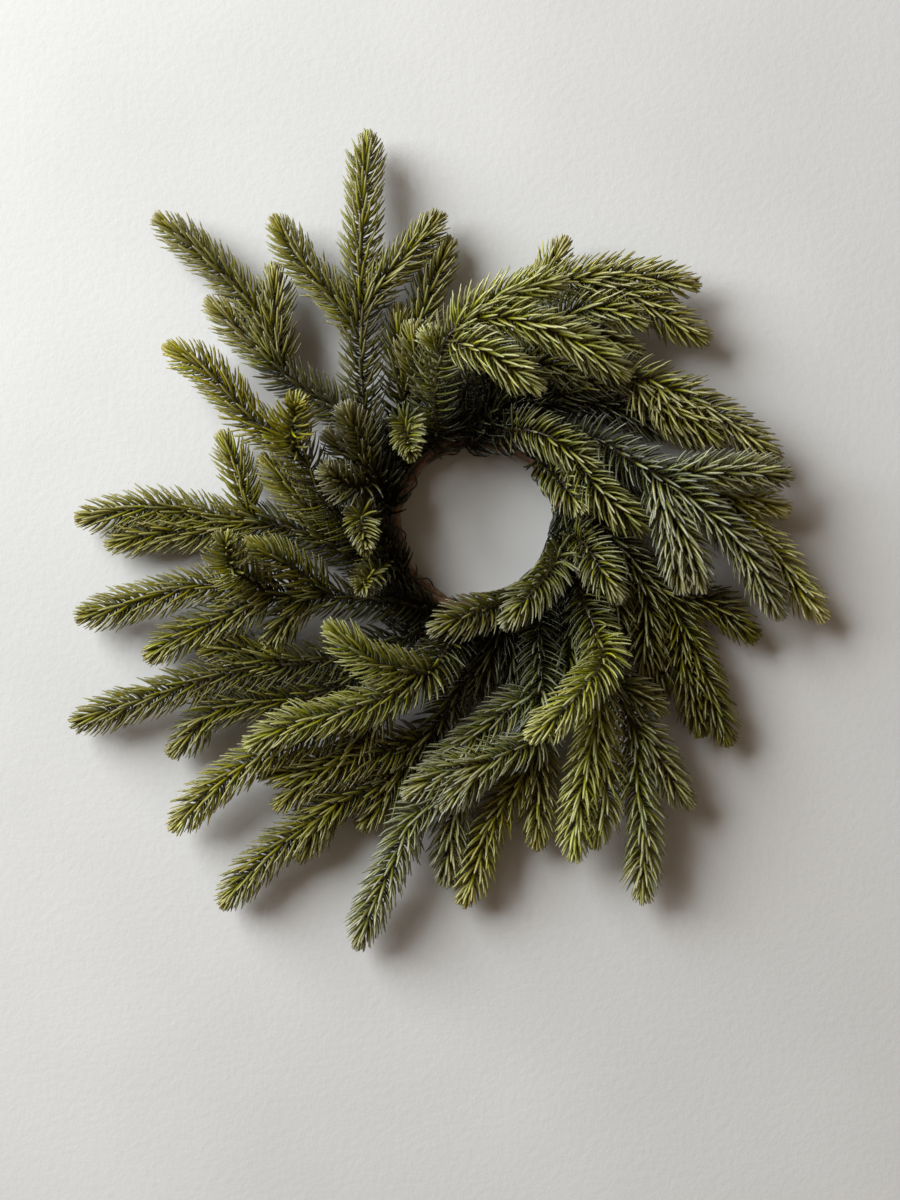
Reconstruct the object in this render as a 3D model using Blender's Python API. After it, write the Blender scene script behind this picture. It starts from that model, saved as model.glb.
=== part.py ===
"""Spruce candle ring: moulded spruce sprays wired onto a small ring of twisted vine.

A pillar candle stands in the hole. Three vine strands, twisted round each other, lie flat on the
surface. The bare foot of each spray runs along the strands, under a binding wire, before its stem
bends outward. Lengths are in millimetres up to the point where a mesh is made, where MM turns them
into metres. X points right, Y away and Z up, from the middle of the hole.
"""

import math
import random
from collections import namedtuple

import bmesh
import bpy
import numpy as np
from mathutils import Vector

MM = 0.001

# The vine ring. Its hole takes a 76 mm pillar candle.
RING_RADIUS = 49.0
STRANDS = 3
STRAND_RADIUS = 2.5
STRAND_OFFSET = 3.2
STRAND_TURNS = 3
STRAND_POINTS = 45
FLAT_DEPTH = 0.6
RING_HEIGHT = STRAND_OFFSET + STRAND_RADIUS - FLAT_DEPTH
CANDLE_RADIUS = 38.0
OPENING_HALF = 28.0

# The binding wire crosses under the ring where the bottom lies between two strands.
WIRE_RADIUS = 0.45
WIRE_TURNS = STRANDS * STRAND_TURNS
WIRE_POINTS_PER_TURN = 12
WIRE_LOWEST = 0.55
GAP = 0.3

# Stems and their feet. A channel is the angle round the ring's section at which a foot lies.
FOOT_RADIUS = 1.1
STEM_RADIUS = 1.2
TIP_RADIUS = 0.95
FOOT_REACH = STRAND_OFFSET + STRAND_RADIUS + GAP + FOOT_RADIUS
LOWER, OUTER, SHOULDER, CREST, INNER = -15, 5, 45, 85, 125
STEM_STEP = 3.0
FOOT_TOLERANCE = 0.2
STEM_TOLERANCE = 0.75
STEM_CLEARANCE = 4.2
BARE_BASE = 3.0
BARE_LOWEST = 3.0
LEAFY_LOWEST = 12.5
BENDING_ROUNDS = 160
EASING_LENGTH = 16.0

# Needles. A listed tip is where the last needles end, so the stem stops short of it.
NEEDLE_LENGTH = 15.0
NEEDLE_RADIUS = 0.6
NEEDLE_SIDES = 3
NEEDLE_SPACING = 14.5
ROOT_SHARE = 0.3
NEEDLE_LEAN = 45.0
END_LEAN = 24.0
END_STEP = 2.5
END_REACH = 12.0
GOLDEN_ANGLE = 137.5
NEEDLE_LOWEST = 0.8
SEED = 11

# The plan below is as seen from a point above the surface, which makes high points look further out.
EYE_HEIGHT = 1030.0
EYE_FOOT = (-16.4, -42.5)

Spray = namedtuple("Spray", "name channel foot tint main sides")
Sprig = namedtuple("Sprig", "spray points free root bare")

TINTS = {
    "green": (0.13, 0.17, 0.035),
    "bright": (0.22, 0.27, 0.05),
    "gold": (0.24, 0.23, 0.03),
    "blue": (0.12, 0.17, 0.08),
    "deep": (0.05, 0.08, 0.025),
}

# Each foot gives the ring angles at which it starts and leaves, going clockwise. Each side sprig
# starts with the place (X, Y) where it joins the main stem.
SPRAYS = [
    Spray("spray_top_right", OUTER, (138, 112), "green",
          [(-8, 74, 14), (8, 104, 18), (22, 125, 22), (35, 134, 25), (57, 140, 28), (80, 142, 27),
           (103, 139, 22), (128, 135, 16)],
          [[(52, 139), (69, 136, 27), (91, 128, 25), (108, 117, 21), (131, 104, 16)],
           [(24, 127), (35, 137, 24), (42, 149, 22), (49, 163, 19)]]),
    Spray("spray_upper_right", OUTER, (108, 84), "green",
          [(28, 62, 14), (52, 78, 22), (83, 85, 30), (114, 75, 31), (137, 62, 27), (159, 45, 21),
           (171, 38, 17)],
          [[(86, 84), (93, 75, 29), (105, 65, 27), (114, 57, 24), (128, 42, 18)],
           [(98, 80), (106, 69, 32), (120, 61, 30), (139, 44, 24)]]),
    Spray("spray_right_low", OUTER, (76, 47), "green",
          [(62, 34, 14), (92, 26, 17), (120, 22, 20), (142, 14, 21), (154, -1, 21), (171, -20, 19),
           (181, -36, 17), (197, -54, 14)],
          [[(122, 21), (137, 20, 19), (158, 14, 18), (179, 5, 15)]]),
    Spray("spray_lower_right", LOWER, (43, 21), "green",
          [(62, 2, 13), (80, -18, 16), (98, -34, 18), (111, -45, 18), (115, -74, 19), (121, -95, 18),
           (126, -120, 14)],
          [[(112, -50), (120, -65, 19), (130, -94, 18), (142, -125, 14)],
           [(98, -34), (120, -40, 18), (133, -45, 18), (147, -56, 16), (158, -65, 14)]]),
    Spray("spray_lower_right_blue", OUTER, (16, -8), "blue",
          [(57, -28, 13), (62, -50, 18), (69, -71, 24), (80, -96, 28), (89, -122, 28), (90, -146, 27),
           (94, -168, 24), (93, -197, 19), (93, -217, 15)],
          [[(84, -108), (94, -119, 27), (104, -135, 25), (112, -149, 21), (124, -161, 17)],
           [(76, -88), (88, -96, 30), (97, -101, 28), (106, -107, 24)],
           [(60, -42), (53, -60, 18), (50, -82, 18), (50, -106, 16)]]),
    Spray("spray_bottom_low", OUTER, (-14, -38), "green",
          [(36, -58, 12), (34, -85, 15), (35, -110, 18), (29, -136, 20), (15, -156, 19), (6, -172, 18),
           (-1, -193, 16), (-10, -219, 14)],
          [[(34, -120), (35, -134, 18), (34, -156, 17), (33, -184, 14)]]),
    Spray("spray_bottom_left", OUTER, (-44, -72), "green",
          [(4, -68, 12), (-12, -95, 14), (-32, -125, 16), (-54, -147, 18), (-79, -156, 19),
           (-96, -170, 19), (-113, -182, 18), (-130, -198, 16), (-146, -217, 14)],
          [[(-70, -153), (-84, -162, 17), (-96, -179, 15), (-103, -193, 13)],
           [(-36, -130), (-45, -142, 14), (-53, -155, 14), (-69, -172, 13)],
           [(-28, -119), (-50, -127, 22), (-73, -136, 22), (-91, -142, 21), (-118, -163, 16)]]),
    Spray("spray_lower_left", LOWER, (-77, -99), "green",
          [(-32, -60, 14), (-58, -68, 18), (-84, -76, 21), (-115, -80, 22), (-146, -85, 21),
           (-167, -91, 20), (-189, -99, 18), (-211, -106, 16), (-234, -114, 14)],
          [[(-50, -66), (-73, -88, 17), (-93, -97, 18), (-138, -102, 18), (-150, -106, 18),
            (-162, -117, 16), (-177, -133, 14)],
           [(-104, -79), (-122, -75, 19), (-141, -70, 18), (-160, -72, 16)]]),
    Spray("spray_left", OUTER, (-104, -128), "green",
          [(-54, -28, 14), (-76, -14, 18), (-101, -3, 20), (-140, 3, 20), (-162, 7, 19), (-183, 10, 17),
           (-210, 6, 15), (-232, 3, 14)],
          [[(-115, 0), (-129, 4, 21), (-133, 19, 21), (-138, 35, 19), (-149, 55, 16)],
           [(-128, 2), (-151, -3, 18), (-183, -5, 16), (-212, -11, 14)],
           [(-82, -11), (-92, 4, 23), (-106, 20, 25), (-124, 40, 22)]]),
    Spray("spray_upper_left", OUTER, (196, 172), "green",
          [(-55, 28, 14), (-62, 48, 18), (-75, 62, 21), (-101, 79, 22), (-113, 88, 22), (-120, 108, 22),
           (-125, 121, 21), (-135, 133, 20), (-158, 155, 17), (-184, 175, 14)],
          [[(-112, 87), (-123, 99, 21), (-133, 108, 19), (-144, 119, 17), (-156, 126, 15)],
           [(-112, 87), (-115, 111, 22), (-116, 133, 19), (-117, 151, 16)]]),
    Spray("spray_top_low", LOWER, (164, 143), "deep",
          [(-40, 52, 13), (-43, 75, 17), (-45, 98, 20), (-46, 129, 20)],
          [[(-43, 82), (-38, 102, 18), (-33, 116, 17), (-28, 133, 16), (-16, 163, 14)],
           [(-43, 72), (-36, 84, 26), (-36, 100, 32), (-37, 117, 34)]]),
    Spray("spray_top", SHOULDER, (205, 178), "green",
          [(-56, 20, 18), (-62, 45, 24), (-65, 65, 27), (-67, 105, 28), (-67, 150, 25), (-65, 190, 20),
           (-63, 223, 15)],
          [[(-66, 108), (-79, 126, 26), (-101, 150, 22), (-118, 177, 17)],
           [(-66, 118), (-57, 136, 26), (-38, 156, 22), (-19, 179, 17)]]),
    Spray("spray_left_gold", SHOULDER, (-119, -145), "gold",
          [(-58, -12, 20), (-76, 3, 30), (-87, 14, 35), (-96, 31, 39), (-107, 46, 41), (-129, 60, 38),
           (-140, 73, 36), (-156, 89, 31), (-178, 101, 24)],
          [[(-101, 40), (-106, 48, 50), (-105, 60, 62), (-102, 75, 72)]]),
    Spray("spray_left_low", SHOULDER, (-86, -112), "green",
          [(-45, -43, 20), (-76, -41, 25), (-101, -40, 27), (-124, -39, 27), (-156, -34, 25),
           (-178, -39, 22), (-200, -45, 18), (-231, -54, 14)],
          [[(-116, -39), (-135, -48, 25), (-151, -56, 22), (-167, -62, 19), (-189, -76, 15)],
           [(-92, -40), (-101, -45, 24), (-110, -54, 21), (-120, -74, 16)],
           [(-84, -41), (-98, -29, 32), (-114, -19, 36), (-134, -10, 34)],
           [(-112, -39), (-128, -32, 37), (-139, -25, 47), (-143, -15, 58), (-143, -2, 68)]]),
    Spray("spray_bottom_left_upper", SHOULDER, (-54, -78), "green",
          [(-8, -62, 18), (-30, -80, 23), (-58, -102, 27), (-85, -116, 29), (-113, -125, 29),
           (-135, -138, 27), (-151, -150, 23), (-174, -173, 16)],
          [[(-48, -94), (-62, -114, 24), (-73, -128, 23), (-96, -138, 22), (-126, -140, 18)]]),
    Spray("spray_bottom_fan", SHOULDER, (-18, -42), "blue",
          [(34, -58, 22), (36, -90, 30), (33, -121, 38), (12, -131, 40), (-5, -144, 38),
           (-26, -162, 32)],
          [[(36, -92), (20, -103, 33), (3, -116, 32), (-14, -130, 28), (-33, -143, 22)],
           [(8, -133), (-11, -137, 37), (-22, -142, 35), (-45, -156, 29)],
           [(2, -139), (-18, -152, 31), (-37, -166, 26), (-45, -184, 23), (-53, -201, 21),
            (-62, -221, 18), (-69, -240, 15)],
           [(-4, -143), (-13, -158, 20), (-16, -178, 17), (-19, -205, 14)]]),
    Spray("spray_bottom_right", SHOULDER, (12, -12), "bright",
          [(56, -30, 24), (60, -45, 34), (67, -63, 43), (69, -92, 46), (65, -121, 42), (57, -157, 33),
           (53, -193, 24)],
          [[(68, -100), (70, -122, 36), (72, -150, 29), (65, -183, 21)],
           [(66, -60), (71, -74, 54), (60, -92, 62), (46, -107, 62), (27, -121, 56)]]),
    Spray("spray_right_inner", SHOULDER, (46, 22), "deep",
          [(62, 4, 19), (80, -12, 23), (93, -32, 24), (94, -66, 22), (92, -91, 17)],
          [[(93, -45), (99, -62, 18), (101, -78, 16), (104, -104, 14)],
           [(76, -8), (77, -26, 25), (79, -48, 24), (82, -74, 20)]]),
    Spray("spray_right", SHOULDER, (86, 60), "blue",
          [(46, 46, 28), (68, 48, 40), (86, 37, 48), (104, 27, 51), (133, 4, 46), (149, -12, 40),
           (160, -31, 33), (173, -55, 24)],
          [[(102, 28), (125, 30, 48), (154, 30, 40), (180, 27, 30)],
           [(100, 30), (108, 10, 48), (115, -3, 45), (122, -20, 40), (126, -41, 32)],
           [(98, 31), (105, 9, 44), (110, -8, 40), (113, -22, 36), (117, -42, 30)]]),
    Spray("spray_top_right_inner", SHOULDER, (126, 102), "blue",
          [(8, 64, 18), (22, 86, 24), (38, 108, 29), (52, 121, 32), (69, 123, 32), (91, 115, 28),
           (99, 112, 26)],
          [[(30, 98), (46, 106, 26), (63, 111, 25), (80, 102, 22), (94, 99, 18)],
           [(20, 82), (35, 92, 28), (50, 86, 26), (66, 77, 22)]]),
    Spray("tuft_upper_left", SHOULDER, (170, 148), "bright",
          [(-44, 44, 17), (-43, 56, 28), (-41, 58, 42), (-40, 50, 58), (-38, 36, 72)],
          []),
    Spray("spray_top_bright", CREST, (150, 126), "bright",
          [(-24, 52, 22), (-25, 70, 34), (-23, 90, 46), (-18, 106, 53), (-5, 116, 56), (23, 116, 57),
           (46, 108, 54), (69, 95, 47), (88, 82, 38)],
          [[(-19, 104), (-12, 103, 56), (1, 100, 60), (18, 89, 59), (39, 74, 52)],
           [(-14, 110), (-5, 121, 56), (12, 130, 54), (29, 135, 50), (50, 137, 42)],
           [(-22, 96), (-27, 104, 52), (-36, 107, 50)]]),
    Spray("spray_rim_top", CREST, (112, 88), "bright",
          [(14, 53, 21), (26, 54, 32), (40, 50, 40), (54, 41, 43), (71, 32, 39)],
          []),
    Spray("spray_rim_right", CREST, (74, 50), "bright",
          [(38, 34, 22), (46, 26, 33), (54, 15, 40), (63, 6, 39)],
          [[(32, 38), (44, 42, 24), (52, 40, 34), (63, 26, 44), (74, 14, 46), (88, 3, 42),
            (97, -3, 37)]]),
    Spray("spray_rim_lower_right", CREST, (16, -8), "bright",
          [(47, -14, 22), (43, -22, 34), (36, -32, 44), (28, -41, 49), (13, -58, 48)],
          [[(49, -7), (57, -8, 24), (64, -16, 34), (71, -28, 40), (82, -44, 38)]]),
    Spray("spray_rim_bottom", CREST, (-24, -50), "green",
          [(21, -42, 22), (10, -46, 32), (0, -49, 38), (-16, -55, 42), (-29, -60, 40)],
          []),
    Spray("spray_lower_left_bright", CREST, (-62, -88), "bright",
          [(-8, -56, 22), (-18, -70, 36), (-28, -84, 47), (-45, -94, 52), (-65, -102, 53),
           (-84, -108, 51), (-102, -112, 47), (-118, -119, 41), (-135, -126, 34)],
          [[(-24, -80), (-31, -84, 53), (-45, -82, 57), (-62, -76, 58), (-76, -65, 55),
            (-90, -55, 50)]]),
    Spray("tuft_left", CREST, (-124, -148), "green",
          [(-52, -12, 20), (-62, 2, 32), (-66, 6, 46), (-65, -6, 60), (-62, -22, 68)],
          [[(-48, -18), (-58, -26, 30), (-64, -32, 44), (-66, -38, 60)]]),
    Spray("spray_left_inner", CREST, (196, 172), "deep",
          [(-54, 22, 24), (-62, 31, 33), (-74, 41, 38), (-88, 54, 36)],
          [[(-58, 26), (-68, 22, 40), (-80, 26, 50), (-88, 36, 58)],
           [(-64, 33), (-66, 46, 40), (-72, 58, 46), (-80, 72, 46)]]),
    Spray("spray_bottom_inner", INNER, (-32, -58), "deep",
          [(16, -48, 17), (12, -62, 18), (4, -82, 17), (-8, -104, 14)],
          [[(14, -56), (20, -72, 16), (16, -96, 14)],
           [(12, -60), (-6, -70, 19), (-20, -80, 17)]]),
    Spray("spray_top_inner", INNER, (130, 104), "deep",
          [(0, 52, 17), (10, 62, 19), (26, 70, 19), (46, 73, 18), (68, 69, 17), (90, 61, 16),
           (112, 50, 15)],
          [[(6, 58), (6, 76, 19), (0, 96, 17)]]),
]


def ring_point(angle, section_angle, reach):
    """The point at `angle` round the ring and `section_angle` round its section, both in degrees."""
    turn, section = math.radians(angle), math.radians(section_angle)
    out = RING_RADIUS + reach * math.cos(section)
    return np.array([out * math.cos(turn), out * math.sin(turn),
                     RING_HEIGHT + reach * math.sin(section)])


def standing(point):
    """The place of a plan point, drawn in towards the eye's foot as its height asks."""
    x, y, z = point
    shrink = 1 - z / EYE_HEIGHT
    return np.array([EYE_FOOT[0] + (x - EYE_FOOT[0]) * shrink,
                     EYE_FOOT[1] + (y - EYE_FOOT[1]) * shrink, z])


def smooth_path(knots, step):
    """Points about every `step` along a smooth curve through the knots."""
    knots = np.array(knots, float)
    spans = np.linalg.norm(np.diff(knots, axis=0), axis=1)
    places = np.concatenate([[0.0], np.cumsum(spans)])
    slopes = np.gradient(knots, places, axis=0)
    along = np.linspace(0, places[-1], max(3, round(places[-1] / step) + 1))
    span = np.clip(np.searchsorted(places, along, side="right") - 1, 0, len(spans) - 1)
    u = ((along - places[span]) / spans[span])[:, None]
    length = spans[span][:, None]
    return ((2 * u**3 - 3 * u**2 + 1) * knots[span]
            + (u**3 - 2 * u**2 + u) * length * slopes[span]
            + (3 * u**2 - 2 * u**3) * knots[span + 1]
            + (u**3 - u**2) * length * slopes[span + 1])


def lengths_along(points):
    steps = np.linalg.norm(np.diff(points, axis=0), axis=1)
    return np.concatenate([[0.0], np.cumsum(steps)])


def cut_short(points, length):
    """The path with about this much taken off its end."""
    along = lengths_along(points)
    return points[along <= along[-1] - length]


def main_sprig(spray):
    """The foot along the ring and the stem that leaves it. The foot stays where it is."""
    start, leave = spray.foot
    angles = np.linspace(start, leave, 5)
    foot = [ring_point(angle, spray.channel, FOOT_REACH) for angle in angles]
    path = smooth_path(foot + [standing(point) for point in spray.main], STEM_STEP)
    path = cut_short(path, END_REACH)
    along = lengths_along(path)
    foot_end = math.radians(start - leave) * math.hypot(*foot[-1][:2])
    free = np.clip((along - foot_end) / EASING_LENGTH, 0, 1)
    return Sprig(spray.name, path, free, None, foot_end + BARE_BASE)


def side_sprig(spray, listed, main, main_index):
    """A sprig that starts on the main stem, at the point nearest to its first place."""
    join = standing((*listed[0], listed[1][2]))
    joined = int(np.argmin(np.linalg.norm(main.points[:, :2] - join[:2], axis=1)))
    knots = [main.points[joined]] + [standing(point) for point in listed[1:]]
    path = cut_short(smooth_path(knots, STEM_STEP), END_REACH)
    free = np.ones(len(path))
    return Sprig(spray.name, path, free, (main_index, joined), BARE_BASE)


def all_sprigs():
    sprigs = []
    for spray in SPRAYS:
        main_index = len(sprigs)
        main = main_sprig(spray)
        sprigs.append(main)
        for listed in spray.sides:
            sprigs.append(side_sprig(spray, listed, main, main_index))
    return sprigs


def wire_path():
    """A closed helix round the ring, wide over the feet, close elsewhere and flattened below."""
    count = WIRE_TURNS * WIRE_POINTS_PER_TURN
    close = STRAND_OFFSET + STRAND_RADIUS + GAP + WIRE_RADIUS
    wide = FOOT_REACH + FOOT_RADIUS + GAP + WIRE_RADIUS
    points = []
    for i in range(count):
        turned = 360 * i / WIRE_POINTS_PER_TURN
        section = turned - 90
        middle_of_feet = (OUTER + INNER) / 2
        off = abs((section - middle_of_feet + 180) % 360 - 180)
        blend = min(max((125 - off) / 45, 0), 1)
        point = ring_point(360 * i / count, section, close + (wide - close) * blend)
        point[2] = max(point[2], WIRE_LOWEST)
        points.append(point)
    return np.array(points)


def strand_path(strand):
    """One strand's middle. At ring angle 0 the section's lowest point lies between two strands."""
    points = []
    for i in range(STRAND_POINTS):
        angle = 360 * i / STRAND_POINTS
        section = 90 + 360 * strand / STRANDS + STRAND_TURNS * angle
        points.append(ring_point(angle, section, STRAND_OFFSET))
    return np.array(points)


def near_pairs(points, owners, reach):
    """Pairs of points of different sprays that lie within `reach` of each other."""
    first, second = [], []
    for i in range(len(points) - 1):
        near = np.linalg.norm(points[i + 1:] - points[i], axis=1) < reach
        found = np.nonzero(near & (owners[i + 1:] != owners[i]))[0] + i + 1
        first.append(np.full(len(found), i))
        second.append(found)
    return np.concatenate(first), np.concatenate(second)


def pushed_off_ring(points):
    """How far each point has to move to lie outside the channels round the ring."""
    across = np.hypot(points[:, 0], points[:, 1])
    out, up = across - RING_RADIUS, points[:, 2] - RING_HEIGHT
    reach = np.maximum(np.hypot(out, up), 1e-6)
    short = np.maximum(FOOT_REACH + GAP - reach, 0)
    push = np.zeros_like(points)
    push[:, 0] = short * out / reach * points[:, 0] / across
    push[:, 1] = short * out / reach * points[:, 1] / across
    push[:, 2] = short * up / reach
    return push


def evened(shift, free):
    """A sprig's shifts, smoothed along it."""
    smooth = shift.copy()
    smooth[1:-1] = (shift[:-2] + 2 * shift[1:-1] + shift[2:]) / 4
    return smooth * (free > 0)[:, None]


def bend_clear(sprigs, wire):
    """Bends stems away from the stems of other sprays, the wire, the ring and the surface."""
    starts = np.cumsum([0] + [len(sprig.points) for sprig in sprigs])
    sprays = sorted({sprig.spray for sprig in sprigs})
    owners = np.concatenate([np.full(len(s.points), sprays.index(s.spray)) for s in sprigs]
                            + [np.full(len(wire), len(sprays))])
    points = np.concatenate([s.points for s in sprigs] + [wire])
    free = np.concatenate([s.free for s in sprigs] + [np.zeros(len(wire))])
    lowest = np.concatenate([np.where(lengths_along(s.points) > s.bare + EASING_LENGTH,
                                      LEAFY_LOWEST, BARE_LOWEST) for s in sprigs]
                            + [np.zeros(len(wire))])
    rest = points.copy()
    for turn in range(BENDING_ROUNDS):
        if turn % 10 == 0:
            first, second = near_pairs(points, owners, 3 * STEM_CLEARANCE)
        apart = points[first] - points[second]
        distance = np.maximum(np.linalg.norm(apart, axis=1), 1e-6)
        weight = free[first] + free[second]
        close = (distance < STEM_CLEARANCE) & (weight > 0)
        share = (STEM_CLEARANCE - distance[close]) / distance[close] / weight[close]
        step = apart[close] * share[:, None]
        moved = np.zeros_like(points)
        np.add.at(moved, first[close], step * free[first[close]][:, None])
        np.add.at(moved, second[close], -step * free[second[close]][:, None])
        moved += pushed_off_ring(points) * (free > 0.2)[:, None]
        moved[:, 2] += np.maximum(lowest - points[:, 2], 0) * (free > 0.2)
        shift = points + 0.6 * moved - rest
        for k, sprig in enumerate(sprigs):
            part = slice(starts[k], starts[k + 1])
            if sprig.root:
                main, joined = sprig.root
                shift[starts[k]] = shift[starts[main] + joined]
                shift[part][1:] = evened(shift[part], free[part])[1:]
            else:
                shift[part] = evened(shift[part], free[part])
        points = rest + shift
    return [sprig._replace(points=points[starts[k]:starts[k + 1]])
            for k, sprig in enumerate(sprigs)]


def thinned(points, tolerance):
    """The fewest of a path's points that keep it within `tolerance` of them all."""
    if len(points) < 3:
        return points
    along = points[-1] - points[0]
    share = np.clip((points - points[0]) @ along / (along @ along), 0, 1)
    off = np.linalg.norm(points - points[0] - share[:, None] * along, axis=1)
    worst = int(np.argmax(off))
    if off[worst] < tolerance:
        return points[[0, -1]]
    return np.concatenate([thinned(points[:worst + 1], tolerance)[:-1],
                           thinned(points[worst:], tolerance)])


def stem_line(sprig):
    """The few points that a sprig's solid is built on, closer together along its foot."""
    foot_end = int(np.searchsorted(lengths_along(sprig.points), sprig.bare))
    if sprig.root:
        return thinned(sprig.points, STEM_TOLERANCE)
    return np.concatenate([thinned(sprig.points[:foot_end + 1], FOOT_TOLERANCE)[:-1],
                           thinned(sprig.points[foot_end:], STEM_TOLERANCE)])


def stem_radii(points, sprig):
    """Radii that taper from the foot or the join to the tip."""
    along = lengths_along(points) / lengths_along(points)[-1]
    base = FOOT_RADIUS if sprig.root is None else (FOOT_RADIUS + TIP_RADIUS) / 2
    radii = base + (TIP_RADIUS - base) * along
    if sprig.root is None:
        radii = radii + (STEM_RADIUS - FOOT_RADIUS) * np.sin(math.pi * along)
    return radii


def segment_gaps(start, end, radius, starts, ends, start_radii, end_radii):
    """The gaps between one needle, which tapers to a point, and many tapered segments."""
    along, others = end - start, ends - starts
    between = start - starts
    a = along @ along
    e = np.maximum((others * others).sum(axis=1), 1e-9)
    b = others @ along
    c = between @ along
    f = (others * between).sum(axis=1)
    s = np.clip((b * f - c * e) / np.maximum(a * e - b * b, 1e-9), 0, 1)
    t = np.clip((b * s + f) / e, 0, 1)
    s = np.clip((b * t - c) / a, 0, 1)
    near = start + s[:, None] * along
    far = starts + t[:, None] * others
    distance = np.linalg.norm(near - far, axis=1)
    return distance - radius * (1 - s) - (start_radii + (end_radii - start_radii) * t)


class Obstacles:
    """The segments that a needle of another spray has to stay clear of."""

    def __init__(self):
        self.owners, self.rows = [], []

    def add(self, owner, start, end, start_radius, end_radius):
        self.owners.append(owner)
        self.rows.append(np.concatenate([start, end, [start_radius, end_radius]]))

    def add_path(self, owner, points, radii):
        for i in range(len(points) - 1):
            self.add(owner, points[i], points[i + 1], radii[i], radii[i + 1])

    def clear(self, owner, start, end):
        """Whether a needle clears other sprays and, past its root, its own."""
        rows, own = np.array(self.rows), np.array(self.owners) == owner
        past_root = start + ROOT_SHARE * (end - start)
        for some, first, radius in ((rows[~own], start, NEEDLE_RADIUS),
                                    (rows[own], past_root, NEEDLE_RADIUS * (1 - ROOT_SHARE))):
            gaps = segment_gaps(first, end, radius, some[:, :3], some[:, 3:6], some[:, 6], some[:, 7])
            if gaps.min() < GAP:
                return False
        return True


def own_side(points):
    """The direction in which a spray lies off the hole, and how far its needles may reach back."""
    best = None
    for degrees in range(0, 360, 3):
        way = np.array([math.cos(math.radians(degrees)), math.sin(math.radians(degrees))])
        edge = OPENING_HALF * (abs(way[0]) + abs(way[1]))
        spare = (points[:, :2] @ way).min() - edge
        if best is None or spare > best[0]:
            best = (spare, way, edge)
    return best


def in_bounds(start, end, side):
    """Whether a needle clears the surface, the ring, the candle and its spray's side of the hole."""
    _, way, edge = side
    places = start + np.linspace(0.2, 1, 5)[:, None] * (end - start)
    across = np.hypot(places[:, 0], places[:, 1])
    reach = np.hypot(across - RING_RADIUS, places[:, 2] - RING_HEIGHT)
    return (end[2] > NEEDLE_LOWEST and across.min() > CANDLE_RADIUS + GAP
            and reach.min() > STRAND_OFFSET + STRAND_RADIUS + NEEDLE_RADIUS + GAP
            and end[:2] @ way > edge)


def needle_end(start, tangent, spin, lean, length):
    """The tip of a needle that leans `lean` degrees off the stem, `spin` degrees round it."""
    tangent = Vector(tangent).normalized()
    aside = tangent.orthogonal().normalized()
    over = tangent.cross(aside)
    spun = aside * math.cos(math.radians(spin)) + over * math.sin(math.radians(spin))
    way = tangent * math.cos(math.radians(lean)) + spun * math.sin(math.radians(lean))
    return start + np.array(way) * length


def needle_places(sprig, draw):
    """Where each needle of a sprig starts, and its stem direction, spin, lean and length."""
    along = lengths_along(sprig.points)
    last = along[-1]
    first = min(sprig.bare + NEEDLE_SPACING * draw.uniform(0.3, 0.8), last)
    count = max(1, round((last - first) / NEEDLE_SPACING))
    places = [first + (last - first) * i / count for i in range(count)]
    places += [last - 2 * END_STEP, last - END_STEP, last]
    spin = draw.uniform(0, 360)
    for place in places:
        start = np.array([np.interp(place, along, sprig.points[:, k]) for k in range(3)])
        ahead = np.array([np.interp(min(place + 2, last), along, sprig.points[:, k]) for k in range(3)])
        behind = np.array([np.interp(max(place - 2, 0), along, sprig.points[:, k]) for k in range(3)])
        spin += GOLDEN_ANGLE
        share = min((last - place) / (2 * NEEDLE_SPACING), 1)
        lean = 0 if place == last else END_LEAN + (NEEDLE_LEAN - END_LEAN) * share
        length = NEEDLE_LENGTH * (0.85 + 0.15 * share) * draw.uniform(0.93, 1.04)
        yield (start, ahead - behind, spin + draw.uniform(-12, 12), lean + draw.uniform(-5, 5),
               length)


def grown_needles(sprigs, wire):
    """Each spray's needles as (start, end). One that would cross another piece bends clear of it."""
    draw = random.Random(SEED)
    obstacles = Obstacles()
    closed_wire = np.concatenate([wire, wire[:1]])
    obstacles.add_path("wire", closed_wire, np.full(len(closed_wire), WIRE_RADIUS))
    for sprig in sprigs:
        points = stem_line(sprig)
        obstacles.add_path(sprig.spray, points, stem_radii(points, sprig))
    sides = {spray.name: own_side(np.concatenate([s.points for s in sprigs if s.spray == spray.name]))
             for spray in SPRAYS}
    grown = {spray.name: [] for spray in SPRAYS}
    for sprig in sprigs:
        for start, tangent, spin, lean, length in needle_places(sprig, draw):
            for turned, leaned, share in ((0, 0, 1), (22, 0, 1), (-22, 0, 1), (0, -14, 1), (45, -6, 0.9),
                                          (-45, -6, 0.9), (75, -8, 0.85), (-75, -8, 0.85),
                                          (20, -20, 0.7), (-20, -20, 0.7), (180, -10, 0.7)):
                end = needle_end(start, tangent, spin + turned, lean + leaned, length * share)
                if in_bounds(start, end, sides[sprig.spray]) and obstacles.clear(
                        sprig.spray, start, end):
                    obstacles.add(sprig.spray, start, end, NEEDLE_RADIUS, 0)
                    grown[sprig.spray].append((start, end))
                    break
    return grown


def clear_scene():
    for obj in list(bpy.data.objects):
        bpy.data.objects.remove(obj)


def new_collection(name):
    collection = bpy.data.collections.new(name)
    bpy.context.scene.collection.children.link(collection)
    return collection


def new_material(name, colour, roughness, metallic=0.0):
    material = bpy.data.materials.new(name)
    material.use_nodes = True
    shader = material.node_tree.nodes["Principled BSDF"]
    shader.inputs["Base Color"].default_value = (*colour, 1)
    shader.inputs["Roughness"].default_value = roughness
    shader.inputs["Metallic"].default_value = metallic
    return material


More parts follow.
